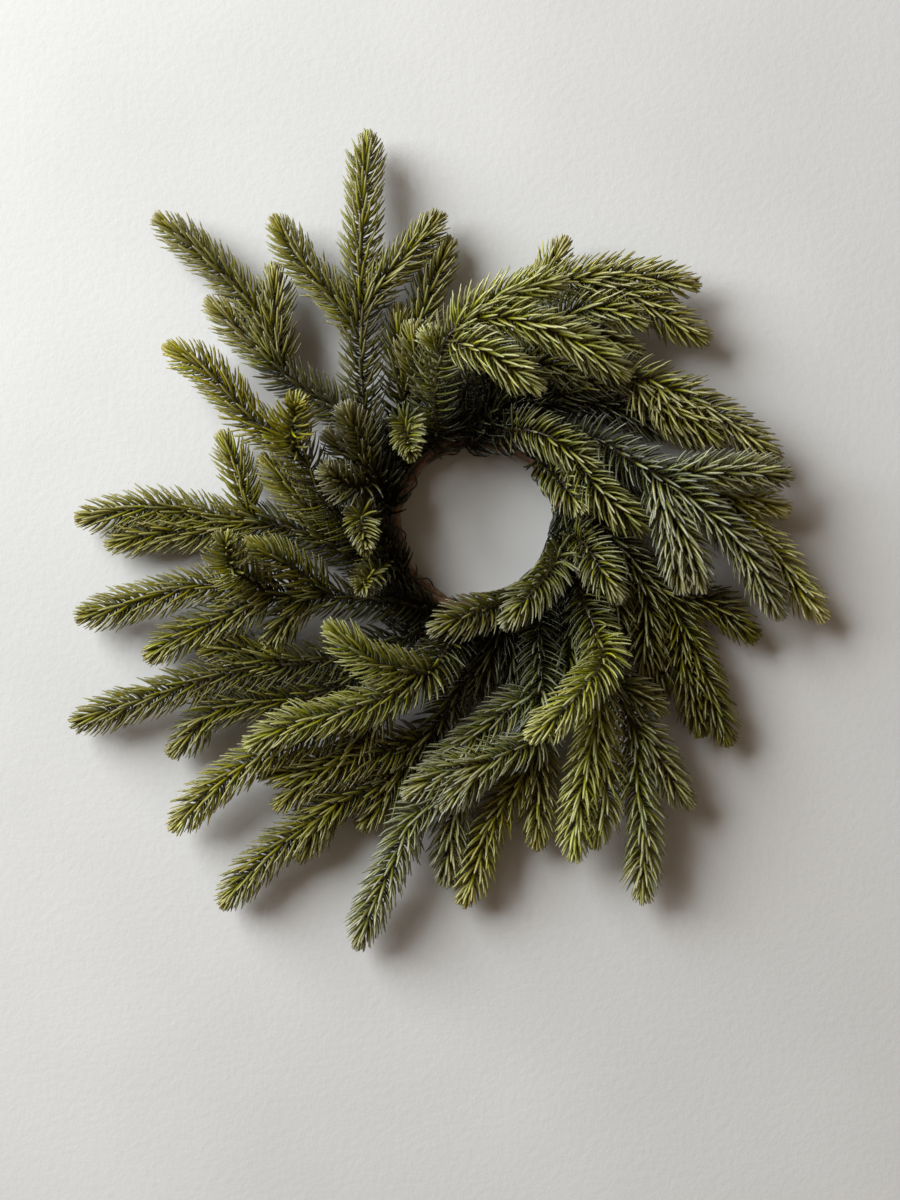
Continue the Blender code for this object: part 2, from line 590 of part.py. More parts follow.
def tube(name, points, radii, resolution, collection, cyclic=False):
    """A closed tube along the points, as a mesh object made from a bevelled curve."""
    curve = bpy.data.curves.new(name, "CURVE")
    curve.dimensions = "3D"
    curve.bevel_depth = MM
    curve.bevel_resolution = resolution
    curve.use_fill_caps = True
    spline = curve.splines.new("POLY")
    spline.points.add(len(points) - 1)
    for knot, point, radius in zip(spline.points, points, radii):
        knot.co = (*(point * MM), 1)
        knot.radius = radius
    spline.use_cyclic_u = cyclic
    guide = bpy.data.objects.new(name + "_curve", curve)
    collection.objects.link(guide)
    bpy.context.view_layer.update()
    graph = bpy.context.evaluated_depsgraph_get()
    mesh = bpy.data.meshes.new_from_object(guide.evaluated_get(graph))
    bpy.data.objects.remove(guide)
    bpy.data.curves.remove(curve)
    tidy = bmesh.new()
    tidy.from_mesh(mesh)
    bmesh.ops.remove_doubles(tidy, verts=tidy.verts, dist=0.00001)
    bmesh.ops.recalc_face_normals(tidy, faces=tidy.faces)
    tidy.to_mesh(mesh)
    tidy.free()
    mesh.shade_smooth()
    obj = bpy.data.objects.new(name, mesh)
    collection.objects.link(obj)
    return obj


def needle_mesh():
    """A three-sided needle of unit length, from its root at the origin up to its point."""
    mesh = bpy.data.meshes.new("needle")
    shape = bmesh.new()
    bmesh.ops.create_cone(shape, cap_ends=True, segments=NEEDLE_SIDES,
                          radius1=NEEDLE_RADIUS * MM, radius2=0, depth=1)
    bmesh.ops.translate(shape, verts=shape.verts, vec=(0, 0, 0.5))
    bmesh.ops.recalc_face_normals(shape, faces=shape.faces)
    shape.to_mesh(mesh)
    shape.free()
    return mesh


def set_needle(mesh, start, end, collection):
    needle = bpy.data.objects.new("needle", mesh)
    way = Vector((end - start) * MM)
    needle.rotation_mode = "QUATERNION"
    needle.rotation_quaternion = way.to_track_quat("Z", "Y")
    needle.location = Vector(start * MM)
    needle.scale = (1, 1, way.length)
    collection.objects.link(needle)


def keep_largest_body(mesh):
    """Drops loose scraps and sealed hollows that a union can leave."""
    shape = bmesh.new()
    shape.from_mesh(mesh)
    left = set(shape.verts)
    bodies = []
    while left:
        body, edge = set(), [left.pop()]
        while edge:
            vert = edge.pop()
            body.add(vert)
            near = [e.other_vert(vert) for e in vert.link_edges]
            edge += [v for v in near if v in left]
            left.difference_update(near)
        bodies.append(body)
    keep = max(bodies, key=len)
    bmesh.ops.delete(shape, geom=[v for v in shape.verts if v not in keep], context="VERTS")
    shape.to_mesh(mesh)
    shape.free()


def fuse(obj, repeats):
    """Joins a collection's objects to this one by one Boolean union, and removes them."""
    union = obj.modifiers.new("join", "BOOLEAN")
    union.operation = "UNION"
    union.operand_type = "COLLECTION"
    union.collection = repeats
    union.solver = "MANIFOLD"
    bpy.context.view_layer.update()
    graph = bpy.context.evaluated_depsgraph_get()
    mesh = bpy.data.meshes.new_from_object(obj.evaluated_get(graph))
    obj.modifiers.clear()
    obj.data = mesh
    keep_largest_body(mesh)
    for repeat in list(repeats.objects):
        bpy.data.objects.remove(repeat)
    bpy.data.collections.remove(repeats)


def make_sprays(collection, sprigs, needles, materials):
    single = needle_mesh()
    for spray in SPRAYS:
        own = [sprig for sprig in sprigs if sprig.spray == spray.name]
        repeats = new_collection(spray.name + "_repeats")
        for k, sprig in enumerate(own):
            points = stem_line(sprig)
            holder = repeats if k else collection
            name = f"{spray.name}_side_{k}" if k else spray.name
            stem = tube(name, points, stem_radii(points, sprig), 0, holder)
            if k == 0:
                main = stem
        for start, end in needles[spray.name]:
            set_needle(single, start, end, repeats)
        fuse(main, repeats)
        main.data.materials.clear()
        main.data.materials.append(materials[spray.tint])


def make_ring(collection, cutters, material):
    """The strands, with their undersides cut flat where they touch the surface."""
    bpy.ops.mesh.primitive_cube_add(size=1)
    below = bpy.context.active_object
    below.name = "surface_cutter"
    below.dimensions = (0.3, 0.3, 0.02)
    below.location = (0, 0, -0.01)
    for holder in list(below.users_collection):
        holder.objects.unlink(below)
    cutters.objects.link(below)
    below.hide_render = True
    below.display_type = "WIRE"
    for strand in range(STRANDS):
        points = strand_path(strand)
        vine = tube(f"vine_{strand + 1}", points, np.full(len(points), STRAND_RADIUS), 1,
                    collection, cyclic=True)
        cut = vine.modifiers.new("flat", "BOOLEAN")
        cut.operation = "DIFFERENCE"
        cut.object = below
        vine.data.materials.append(material)


def centre_on_box(collection, cutters):
    """Moves the whole so that its box is centred over the origin, by way of one parent."""
    bpy.context.view_layer.update()
    corners = np.array([obj.matrix_world @ vertex.co
                        for obj in collection.objects for vertex in obj.data.vertices])
    middle = (corners.min(axis=0) + corners.max(axis=0)) / 2
    root = bpy.data.objects.new("candle_ring", None)
    collection.objects.link(root)
    for obj in list(collection.objects) + list(cutters.objects):
        if obj is not root:
            obj.parent = root
    root.location = (-middle[0], -middle[1], 0)


def main():
    clear_scene()
    collection = new_collection("spruce_candle_ring")
    cutters = new_collection("cutters")
    materials = {tint: new_material("needles_" + tint, colour, 0.55) for tint, colour in TINTS.items()}
    wire = wire_path()
    sprigs = bend_clear(all_sprigs(), wire)
    needles = grown_needles(sprigs, wire)
    make_ring(collection, cutters, new_material("vine", (0.10, 0.045, 0.025), 0.7))
    binding = tube("binding_wire", wire, np.full(len(wire), WIRE_RADIUS), 0, collection, cyclic=True)
    binding.data.materials.append(new_material("wire", (0.02, 0.035, 0.02), 0.4))
    make_sprays(collection, sprigs, needles, materials)
    centre_on_box(collection, cutters)


main()
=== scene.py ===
"""The looks of the spruce candle ring: fine needles, stems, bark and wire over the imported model.

The paths of stems, strands and wire are worked out as for the solids, so each fine piece lies on
the solid that it stands for. Lengths are in millimetres until MM turns them into metres. X points
right, Y away and Z up, from the middle of the hole; made meshes are moved to the model's ring.
"""

import math
from collections import namedtuple

import bpy
import numpy as np
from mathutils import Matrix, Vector


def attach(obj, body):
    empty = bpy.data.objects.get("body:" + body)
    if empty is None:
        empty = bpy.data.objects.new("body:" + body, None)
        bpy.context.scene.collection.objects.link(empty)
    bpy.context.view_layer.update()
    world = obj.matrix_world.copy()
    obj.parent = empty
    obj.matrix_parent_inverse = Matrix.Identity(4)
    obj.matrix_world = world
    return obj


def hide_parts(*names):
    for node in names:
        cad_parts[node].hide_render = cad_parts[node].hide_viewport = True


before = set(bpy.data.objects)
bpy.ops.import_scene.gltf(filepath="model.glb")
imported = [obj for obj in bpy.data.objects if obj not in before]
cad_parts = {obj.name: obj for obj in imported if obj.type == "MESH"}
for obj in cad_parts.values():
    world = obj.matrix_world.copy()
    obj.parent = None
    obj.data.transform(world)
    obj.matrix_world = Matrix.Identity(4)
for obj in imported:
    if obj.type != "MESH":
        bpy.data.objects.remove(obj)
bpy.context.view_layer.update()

MM = 0.001
TINY = 1e-6
FULL_TURN = 2 * math.pi

# The vine ring, the binding wire and the stems, as the solids have them. Angles are in degrees, and
# a channel is the angle round the ring's section at which a foot lies.
RING_RADIUS = 49.0
STRANDS = 3
STRAND_RADIUS = 2.5
STRAND_OFFSET = 3.2
STRAND_TURNS = 3
FLAT_DEPTH = 0.6
RING_HEIGHT = STRAND_OFFSET + STRAND_RADIUS - FLAT_DEPTH
CANDLE_RADIUS = 38.0
WIRE_RADIUS = 0.45
WIRE_TURNS = STRANDS * STRAND_TURNS
WIRE_POINTS_PER_TURN = 12
WIRE_LOWEST = 0.55
WIRE_CLOSE_FROM, WIRE_EASING = 125, 45
GAP = 0.3
FOOT_RADIUS = 1.1
STEM_RADIUS = 1.2
TIP_RADIUS = 0.95
FOOT_REACH = STRAND_OFFSET + STRAND_RADIUS + GAP + FOOT_RADIUS
FOOT_POINTS = 5
LOWER, OUTER, SHOULDER, CREST, INNER = -15, 5, 45, 85, 125
STEM_STEP = 3.0
STEM_CLEARANCE = 4.2
BARE_BASE = 3.0
BARE_LOWEST = 3.0
LEAFY_LOWEST = 12.5
EASING_LENGTH = 16.0
END_REACH = 12.0

# How stems are bent clear: the free points move by a share of what each round asks, and close pairs
# are looked for again every few rounds.
BENDING_ROUNDS, BENDING_SHARE, FREE_ENOUGH = 160, 0.6, 0.2
PAIRING_ROUNDS, PAIRING_REACH = 10, 3 * STEM_CLEARANCE

# How finely the round pieces are made.
STRAND_POINTS, STRAND_SIDES = 360, 20
WIRE_FINENESS, WIRE_SMOOTHINGS, WIRE_SIDES = 4, 4, 8
STEM_SIDES = 8
CAP_WIDTH, CAP_HEIGHT = 0.02, 0.3

# How uneven the vine is: slow swellings, ribs that drift round it, and knots.
SWELLING, SWELLING_WAVES = 0.09, 40
RIBS, RIB_HEIGHT, RIB_DRIFT, RIB_WAVES, RIB_PHASES = (3, 4, 5, 7), 0.06, 0.8, 9, (0, 6.28)
KNOTS, KNOT_HEIGHT, KNOT_LENGTH = 9, 0.3, 2.2
STRAND_THINNEST, STRAND_THICKEST = 2.1, STRAND_RADIUS + 0.2

# Needles. The far end of a sprig is its youngest. LEVELS are shares of a needle's length, and the
# widths are those at all but the last of them. Pairs are for the young end and for the old one.
NEEDLE_LENGTH, TUFT_NEEDLE_LENGTH = 17.5, 12.5
NEEDLE_WIDTH, NEEDLE_THICKNESS, NEEDLE_SIDES = 1.9, 1.25, 4
LEVELS = np.array([0.0, 0.2, 0.45, 0.72, 0.93, 1.0])
LEVEL_WIDTHS = np.array([0.75, 0.97, 1.0, 0.86, 0.5])
DENSITIES = (2.6, 2.1)
AGEING_LENGTH = 110.0
LEAFY_FOOT, FIRST_NEEDLE = 26.0, 0.5
DENSITY_STEPS = 200
GOLDEN_ANGLE = 137.5
PARTING = 0.2
ROOT_DEPTH = 0.5 * TIP_RADIUS
NEEDLE_LOWEST = 1.0
CLEARING_ROOM = 2
COVERED_FROM = 36.0
SEED = 11

# How far a needle leans off its stem at its root and at its point, and how that changes between.
ROOT_LEANS, POINT_LEANS = (76.0, 80.0), (20.0, 34.0)
LEAN_POWER = 0.55
STEEP_SPREAD = 28.0
TANGENT_REACH = 2

# The tip of a sprig has a fan of short needles, and the fan's leans close towards their points.
TIP_ZONE, TIP_POWER = 16.0, 0.8
TIP_NEEDLES, TIP_NEEDLE_ZONE = 16, 2.5
TIP_SHORTNESS = 0.5
TIP_GROWTH = 4.5
FAN_LEANS, FAN_CLOSING = (3, 50), 0.45

# Ranges and standard deviations of what differs from needle to needle.
PLACE_RANGE, LENGTH_RANGE, SIZE_RANGE = (0.2, 0.8), (0.92, 1.05), (0.88, 1.08)
SPIN_SPREAD, ROOT_SPREAD, POINT_SPREAD, SWAY_SPREAD, YOUTH_SPREAD = 0.08, 3, 6, 8, 0.06

# Needles are darker where they are older, and painted darker as shade near the ring, deep inside
# the wreath, and on their undersides. The root shades are painted shade between the needles: shares
# of the full colour at a needle's root and near it.
DARK_REACH, PALE_REACH = 22.0, 66.0
LASTING = 0.75
UNDERSIDE, EVEN_UNDERSIDE = 0.5, 0.8
ROOT_SHADES, EVEN_ROOT_SHADES = (0.08, 0.36), (0.25, 0.62)
RIM_STEEPNESS, RIM_UNSHADED = 4, 0.8

# The map: a needle lies in one of the tint cells, by its youth and its painted shade, and stems in
# the band below them.
UV_MAP = "OFBake"
TINT_CELLS = 64
CELL_MARGIN = 0.08
STEM_BAND = 0.08
STEM_ROWS = (0.1 * STEM_BAND, 0.9 * STEM_BAND)
NEEDLES_FROM = STEM_BAND + 0.02

# The camera looks straight down, and the surface shows at this many millimetres a pixel.
EYE_HEIGHT = 1030.0
EYE_FOOT = (-16.4, -42.5)
PIXEL = 0.567
FRAME_LENGTH = 1200
SENSOR = 36.0

# The key light, the even light and half the width of the floor. These lengths are in metres.
KEY_PLACE, KEY_SIZE, KEY_POWER, KEY_COLOUR = (-1.75, 1.1, 1.25), 2.1, 144.0, (0.955, 0.985, 1.0)
WORLD_COLOUR, WORLD_STRENGTH = (1.0, 0.73, 0.51), 0.19
FLOOR_HALF = 30.0

Spray = namedtuple("Spray", "name channel foot tint lightness blueness sprigs")
Sprig = namedtuple("Sprig", "spray points free root bare")
Tint = namedtuple("Tint", "old middle young")

# Linear colours of the needles by the ring, where the first is a near-black painted shade, along a
# spray and at its young end.
TINTS = {
    "green": Tint((0.010, 0.010, 0.003), (0.218, 0.210, 0.043), (0.276, 0.262, 0.052)),
    "bright": Tint((0.010, 0.010, 0.003), (0.250, 0.256, 0.052), (0.305, 0.310, 0.064)),
    "gold": Tint((0.012, 0.011, 0.002), (0.200, 0.190, 0.015), (0.300, 0.275, 0.018)),
    "blue": Tint((0.012, 0.013, 0.005), (0.218, 0.236, 0.088), (0.272, 0.267, 0.078)),
    # The deep tint is darkened as painted shade, for sprays low inside the ring.
    "deep": Tint((0.012, 0.012, 0.004), (0.092, 0.090, 0.027), (0.144, 0.137, 0.038)),
}
# Sprays by the hole whose painted shade near the ring lifts soon after their foot, and the lengths
# over which they turn pale.
PALE_RIM = {"spray_rim_top": (12, 24), "spray_rim_right": (2, 20),
            "spray_rim_lower_right": (2, 20), "spray_rim_bottom": (2, 20)}
# Sprays whose needles get only light painted shade at the root and on the underside, so they are
# nearly as pale there as elsewhere.
EVEN_SPRAYS = ("spray_top_right", "spray_upper_right", "spray_right_low", "spray_bottom_low",
               "spray_lower_right", "spray_lower_right_blue", "spray_top_bright",
               "spray_bottom_right")

# Each foot gives the ring angles at which it starts and leaves, going clockwise. The tint is
# followed by factors for its lightness and its blue. The first sprig is the main stem, and each
# other one starts with the place (X, Y) where it joins that stem.
SPRAYS = [
    Spray("spray_top_right", OUTER, (138, 112), "green", 1.12, 1.1, [
        [(-8, 74, 14), (8, 104, 18), (22, 125, 22), (35, 134, 25), (57, 140, 28), (80, 142, 27),
         (103, 139, 22), (128, 135, 16)],
        [(52, 139), (69, 136, 27), (91, 128, 25), (108, 117, 21), (131, 104, 16)],
        [(24, 127), (35, 137, 24), (42, 149, 22), (49, 163, 19)]]),
    Spray("spray_upper_right", OUTER, (108, 84), "green", 1.03, 1.2, [
        [(28, 62, 14), (52, 78, 22), (83, 85, 30), (114, 75, 31), (137, 62, 27), (159, 45, 21),
         (171, 38, 17)],
        [(86, 84), (93, 75, 29), (105, 65, 27), (114, 57, 24), (128, 42, 18)],
        [(98, 80), (106, 69, 32), (120, 61, 30), (139, 44, 24)]]),
    Spray("spray_right_low", OUTER, (76, 47), "green", 1.65, 1.25, [
        [(62, 34, 14), (92, 26, 17), (120, 22, 20), (142, 14, 21), (154, -1, 21), (171, -20, 19),
         (181, -36, 17), (197, -54, 14)],
        [(122, 21), (137, 20, 19), (158, 14, 18), (179, 5, 15)]]),
    Spray("spray_lower_right", LOWER, (43, 21), "green", 0.41, 0.35, [
        [(62, 2, 13), (80, -18, 16), (98, -34, 18), (111, -45, 18), (115, -74, 19), (121, -95, 18),
         (126, -120, 14)],
        [(112, -50), (120, -65, 19), (130, -94, 18), (142, -125, 14)],
        [(98, -34), (120, -40, 18), (133, -45, 18), (147, -56, 16), (158, -65, 14)]]),
    Spray("spray_lower_right_blue", OUTER, (16, -8), "blue", 0.93, 0.85, [
        [(57, -28, 13), (62, -50, 18), (69, -71, 24), (80, -96, 28), (89, -122, 28), (90, -146, 27),
         (94, -168, 24), (93, -197, 19), (93, -217, 15)],
        [(84, -108), (94, -119, 27), (104, -135, 25), (112, -149, 21), (124, -161, 17)],
        [(76, -88), (88, -96, 30), (97, -101, 28), (106, -107, 24)],
        [(60, -42), (53, -60, 18), (50, -82, 18), (50, -106, 16)]]),
    Spray("spray_bottom_low", OUTER, (-14, -38), "green", 0.98, 0.8, [
        [(36, -58, 12), (34, -85, 15), (35, -110, 18), (29, -136, 20), (15, -156, 19),
         (6, -172, 18), (-1, -193, 16), (-10, -219, 14)],
        [(34, -120), (35, -134, 18), (34, -156, 17), (33, -184, 14)]]),
    Spray("spray_bottom_left", OUTER, (-44, -72), "green", 0.76, 0.75, [
        [(4, -68, 12), (-12, -95, 14), (-32, -125, 16), (-54, -147, 18), (-79, -156, 19),
         (-96, -170, 19), (-113, -182, 18), (-130, -198, 16), (-146, -217, 14)],
        [(-70, -153), (-84, -162, 17), (-96, -179, 15), (-103, -193, 13)],
        [(-36, -130), (-45, -142, 14), (-53, -155, 14), (-69, -172, 13)],
        [(-28, -119), (-50, -127, 22), (-73, -136, 22), (-91, -142, 21), (-118, -163, 16)]]),
    Spray("spray_lower_left", LOWER, (-77, -99), "green", 0.68, 0.75, [
        [(-32, -60, 14), (-58, -68, 18), (-84, -76, 21), (-115, -80, 22), (-146, -85, 21),
         (-167, -91, 20), (-189, -99, 18), (-211, -106, 16), (-234, -114, 14)],
        [(-50, -66), (-73, -88, 17), (-93, -97, 18), (-138, -102, 18), (-150, -106, 18),
         (-162, -117, 16), (-177, -133, 14)],
        [(-104, -79), (-122, -75, 19), (-141, -70, 18), (-160, -72, 16)]]),
    Spray("spray_left", OUTER, (-104, -128), "green", 0.9, 0.8, [
        [(-54, -28, 14), (-76, -14, 18), (-101, -3, 20), (-140, 3, 20), (-162, 7, 19),
         (-183, 10, 17), (-210, 6, 15), (-232, 3, 14)],
        [(-115, 0), (-129, 4, 21), (-133, 19, 21), (-138, 35, 19), (-149, 55, 16)],
        [(-128, 2), (-151, -3, 18), (-183, -5, 16), (-212, -11, 14)],
        [(-82, -11), (-92, 4, 23), (-106, 20, 25), (-124, 40, 22)]]),
    Spray("spray_upper_left", OUTER, (196, 172), "green", 0.95, 1.15, [
        [(-55, 28, 14), (-62, 48, 18), (-75, 62, 21), (-101, 79, 22), (-113, 88, 22),
         (-120, 108, 22), (-125, 121, 21), (-135, 133, 20), (-158, 155, 17), (-184, 175, 14)],
        [(-112, 87), (-123, 99, 21), (-133, 108, 19), (-144, 119, 17), (-156, 126, 15)],
        [(-112, 87), (-115, 111, 22), (-116, 133, 19), (-117, 151, 16)]]),
    Spray("spray_top_low", LOWER, (164, 143), "deep", 1.9, 0.75, [
        [(-40, 52, 13), (-43, 75, 17), (-45, 98, 20), (-46, 129, 20)],
        [(-43, 82), (-38, 102, 18), (-33, 116, 17), (-28, 133, 16), (-16, 163, 14)],
        [(-43, 72), (-36, 84, 26), (-36, 100, 32), (-37, 117, 34)]]),
    Spray("spray_top", SHOULDER, (205, 178), "green", 0.9, 0.9, [
        [(-56, 20, 18), (-62, 45, 24), (-65, 65, 27), (-67, 105, 28), (-67, 150, 25),
         (-65, 190, 20), (-63, 223, 15)],
        [(-66, 108), (-79, 126, 26), (-101, 150, 22), (-118, 177, 17)],
        [(-66, 118), (-57, 136, 26), (-38, 156, 22), (-19, 179, 17)]]),
    Spray("spray_left_gold", SHOULDER, (-119, -145), "gold", 0.9, 1.0, [
        [(-58, -12, 20), (-76, 3, 30), (-87, 14, 35), (-96, 31, 39), (-107, 46, 41), (-129, 60, 38),
         (-140, 73, 36), (-156, 89, 31), (-178, 101, 24)],
        [(-101, 40), (-106, 48, 50), (-105, 60, 62), (-102, 75, 72)]]),
    Spray("spray_left_low", SHOULDER, (-86, -112), "green", 0.75, 0.75, [
        [(-45, -43, 20), (-76, -41, 25), (-101, -40, 27), (-124, -39, 27), (-156, -34, 25),
         (-178, -39, 22), (-200, -45, 18), (-231, -54, 14)],
        [(-116, -39), (-135, -48, 25), (-151, -56, 22), (-167, -62, 19), (-189, -76, 15)],
        [(-92, -40), (-101, -45, 24), (-110, -54, 21), (-120, -74, 16)],
        [(-84, -41), (-98, -29, 32), (-114, -19, 36), (-134, -10, 34)],
        [(-112, -39), (-128, -32, 37), (-139, -25, 47), (-143, -15, 58), (-143, -2, 68)]]),
    Spray("spray_bottom_left_upper", SHOULDER, (-54, -78), "green", 0.93, 0.8, [
        [(-8, -62, 18), (-30, -80, 23), (-58, -102, 27), (-85, -116, 29), (-113, -125, 29),
         (-135, -138, 27), (-151, -150, 23), (-174, -173, 16)],
        [(-48, -94), (-62, -114, 24), (-73, -128, 23), (-96, -138, 22), (-126, -140, 18)]]),
    Spray("spray_bottom_fan", SHOULDER, (-18, -42), "blue", 0.85, 1.0, [
        [(34, -58, 22), (36, -90, 30), (33, -121, 38), (12, -131, 40), (-5, -144, 38),
         (-26, -162, 32)],
        [(36, -92), (20, -103, 33), (3, -116, 32), (-14, -130, 28), (-33, -143, 22)],
        [(8, -133), (-11, -137, 37), (-22, -142, 35), (-45, -156, 29)],
        [(2, -139), (-18, -152, 31), (-37, -166, 26), (-45, -184, 23), (-53, -201, 21),
         (-62, -221, 18), (-69, -240, 15)],
        [(-4, -143), (-13, -158, 20), (-16, -178, 17), (-19, -205, 14)]]),
    Spray("spray_bottom_right", SHOULDER, (12, -12), "bright", 1.0, 0.9, [
        [(56, -30, 24), (60, -45, 34), (67, -63, 43), (69, -92, 46), (65, -121, 42), (57, -157, 33),
         (53, -193, 24)],
        [(68, -100), (70, -122, 36), (72, -150, 29), (65, -183, 21)],
        [(66, -60), (71, -74, 54), (60, -92, 62), (46, -107, 62), (27, -121, 56)]]),
    Spray("spray_right_inner", SHOULDER, (46, 22), "deep", 1.08, 0.65, [
        [(62, 4, 19), (80, -12, 23), (93, -32, 24), (94, -66, 22), (92, -91, 17)],
        [(93, -45), (99, -62, 18), (101, -78, 16), (104, -104, 14)],
        [(76, -8), (77, -26, 25), (79, -48, 24), (82, -74, 20)]]),
    Spray("spray_right", SHOULDER, (86, 60), "blue", 0.92, 1.15, [
        [(46, 46, 28), (68, 48, 40), (86, 37, 48), (104, 27, 51), (133, 4, 46), (149, -12, 40),
         (160, -31, 33), (173, -55, 24)],
        [(102, 28), (125, 30, 48), (154, 30, 40), (180, 27, 30)],
        [(100, 30), (108, 10, 48), (115, -3, 45), (122, -20, 40), (126, -41, 32)],
        [(98, 31), (105, 9, 44), (110, -8, 40), (113, -22, 36), (117, -42, 30)]]),
    Spray("spray_top_right_inner", SHOULDER, (126, 102), "blue", 1.22, 0.85, [
        [(8, 64, 18), (22, 86, 24), (38, 108, 29), (52, 121, 32), (69, 123, 32), (91, 115, 28),
         (99, 112, 26)],
        [(30, 98), (46, 106, 26), (63, 111, 25), (80, 102, 22), (94, 99, 18)],
        [(20, 82), (35, 92, 28), (50, 86, 26), (66, 77, 22)]]),
    Spray("tuft_upper_left", SHOULDER, (170, 148), "bright", 0.64, 0.9, [
        [(-44, 44, 17), (-43, 56, 28), (-41, 58, 42), (-40, 50, 58), (-38, 36, 72)]]),
    Spray("spray_top_bright", CREST, (150, 126), "bright", 1.12, 1.2, [
        [(-24, 52, 22), (-25, 70, 34), (-23, 90, 46), (-18, 106, 53), (-5, 116, 56), (23, 116, 57),
         (46, 108, 54), (69, 95, 47), (88, 82, 38)],
        [(-19, 104), (-12, 103, 56), (1, 100, 60), (18, 89, 59), (39, 74, 52)],
        [(-14, 110), (-5, 121, 56), (12, 130, 54), (29, 135, 50), (50, 137, 42)],
        [(-22, 96), (-27, 104, 52), (-36, 107, 50)]]),
    Spray("spray_rim_top", CREST, (112, 88), "bright", 0.72, 1.15, [
        [(14, 53, 21), (26, 54, 32), (40, 50, 40), (54, 41, 43), (71, 32, 39)]]),
    Spray("spray_rim_right", CREST, (74, 50), "bright", 0.73, 1.15, [
        [(38, 34, 22), (46, 26, 33), (54, 15, 40), (63, 6, 39)],
        [(32, 38), (44, 42, 24), (52, 40, 34), (63, 26, 44), (74, 14, 46), (88, 3, 42),
         (97, -3, 37)]]),
    Spray("spray_rim_lower_right", CREST, (16, -8), "bright", 0.7, 1.4, [
        [(47, -14, 22), (43, -22, 34), (36, -32, 44), (28, -41, 49), (13, -58, 48)],
        [(49, -7), (57, -8, 24), (64, -16, 34), (71, -28, 40), (82, -44, 38)]]),
    Spray("spray_rim_bottom", CREST, (-24, -50), "green", 0.72, 1.3, [
        [(21, -42, 22), (10, -46, 32), (0, -49, 38), (-16, -55, 42), (-29, -60, 40)]]),
    Spray("spray_lower_left_bright", CREST, (-62, -88), "bright", 0.73, 0.8, [
        [(-8, -56, 22), (-18, -70, 36), (-28, -84, 47), (-45, -94, 52), (-65, -102, 53),
         (-84, -108, 51), (-102, -112, 47), (-118, -119, 41), (-135, -126, 34)],
        [(-24, -80), (-31, -84, 53), (-45, -82, 57), (-62, -76, 58), (-76, -65, 55),
         (-90, -55, 50)]]),
    Spray("tuft_left", CREST, (-124, -148), "green", 0.66, 0.85, [
        [(-52, -12, 20), (-62, 2, 32), (-66, 6, 46), (-65, -6, 60), (-62, -22, 68)],
        [(-48, -18), (-58, -26, 30), (-64, -32, 44), (-66, -38, 60)]]),
    Spray("spray_left_inner", CREST, (196, 172), "deep", 1.55, 1.1, [
        [(-54, 22, 24), (-62, 31, 33), (-74, 41, 38), (-88, 54, 36)],
        [(-58, 26), (-68, 22, 40), (-80, 26, 50), (-88, 36, 58)],
        [(-64, 33), (-66, 46, 40), (-72, 58, 46), (-80, 72, 46)]]),
    Spray("spray_bottom_inner", INNER, (-32, -58), "deep", 0.8, 1.0, [
        [(16, -48, 17), (12, -62, 18), (4, -82, 17), (-8, -104, 14)],
        [(14, -56), (20, -72, 16), (16, -96, 14)],
        [(12, -60), (-6, -70, 19), (-20, -80, 17)]]),
    Spray("spray_top_inner", INNER, (130, 104), "deep", 0.45, 1.0, [
        [(0, 52, 17), (10, 62, 19), (26, 70, 19), (46, 73, 18), (68, 69, 17), (90, 61, 16),
         (112, 50, 15)],
        [(6, 58), (6, 76, 19), (0, 96, 17)]]),
]


def between(low, high, share):
    return low + (high - low) * share


def ring_point(angle, section_angle, reach):
    """The point at one angle round the ring and another round its section, both in degrees."""
    turn, section = math.radians(angle), math.radians(section_angle)
    out = RING_RADIUS + reach * math.cos(section)
    return np.array([out * math.cos(turn), out * math.sin(turn),
                     RING_HEIGHT + reach * math.sin(section)])


def standing(point):
    """The place of a plan point, drawn in towards the eye's foot as its height asks."""
    x, y, z = point
    shrink = 1 - z / EYE_HEIGHT
    return np.array([between(EYE_FOOT[0], x, shrink), between(EYE_FOOT[1], y, shrink), z])


def smooth_path(knots):
    """Points about every STEM_STEP along a smooth curve through the knots."""
    knots = np.array(knots, float)
    spans = np.linalg.norm(np.diff(knots, axis=0), axis=1)
    places = np.concatenate([[0.0], np.cumsum(spans)])
    slopes = np.gradient(knots, places, axis=0)
    along = np.linspace(0, places[-1], max(3, round(places[-1] / STEM_STEP) + 1))
    span = np.clip(np.searchsorted(places, along, side="right") - 1, 0, len(spans) - 1)
    u = ((along - places[span]) / spans[span])[:, None]
    length = spans[span][:, None]
    return ((2 * u**3 - 3 * u**2 + 1) * knots[span]
            + (u**3 - 2 * u**2 + u) * length * slopes[span]
            + (3 * u**2 - 2 * u**3) * knots[span + 1]
            + (u**3 - u**2) * length * slopes[span + 1])


def lengths_along(points):
    steps = np.linalg.norm(np.diff(points, axis=0), axis=1)
    return np.concatenate([[0.0], np.cumsum(steps)])


def cut_short(points):
    """The path without the end that the last needles reach over."""
    along = lengths_along(points)
    return points[along <= along[-1] - END_REACH]


def main_sprig(spray):
    """The foot along the ring and the stem that leaves it. The foot stays where it is."""
    start, leave = spray.foot
    angles = np.linspace(start, leave, FOOT_POINTS)
    foot = [ring_point(angle, spray.channel, FOOT_REACH) for angle in angles]
    path = cut_short(smooth_path(foot + [standing(point) for point in spray.sprigs[0]]))
    along = lengths_along(path)
    foot_end = math.radians(start - leave) * math.hypot(*foot[-1][:2])
    free = np.clip((along - foot_end) / EASING_LENGTH, 0, 1)
    return Sprig(spray.name, path, free, None, foot_end + BARE_BASE)


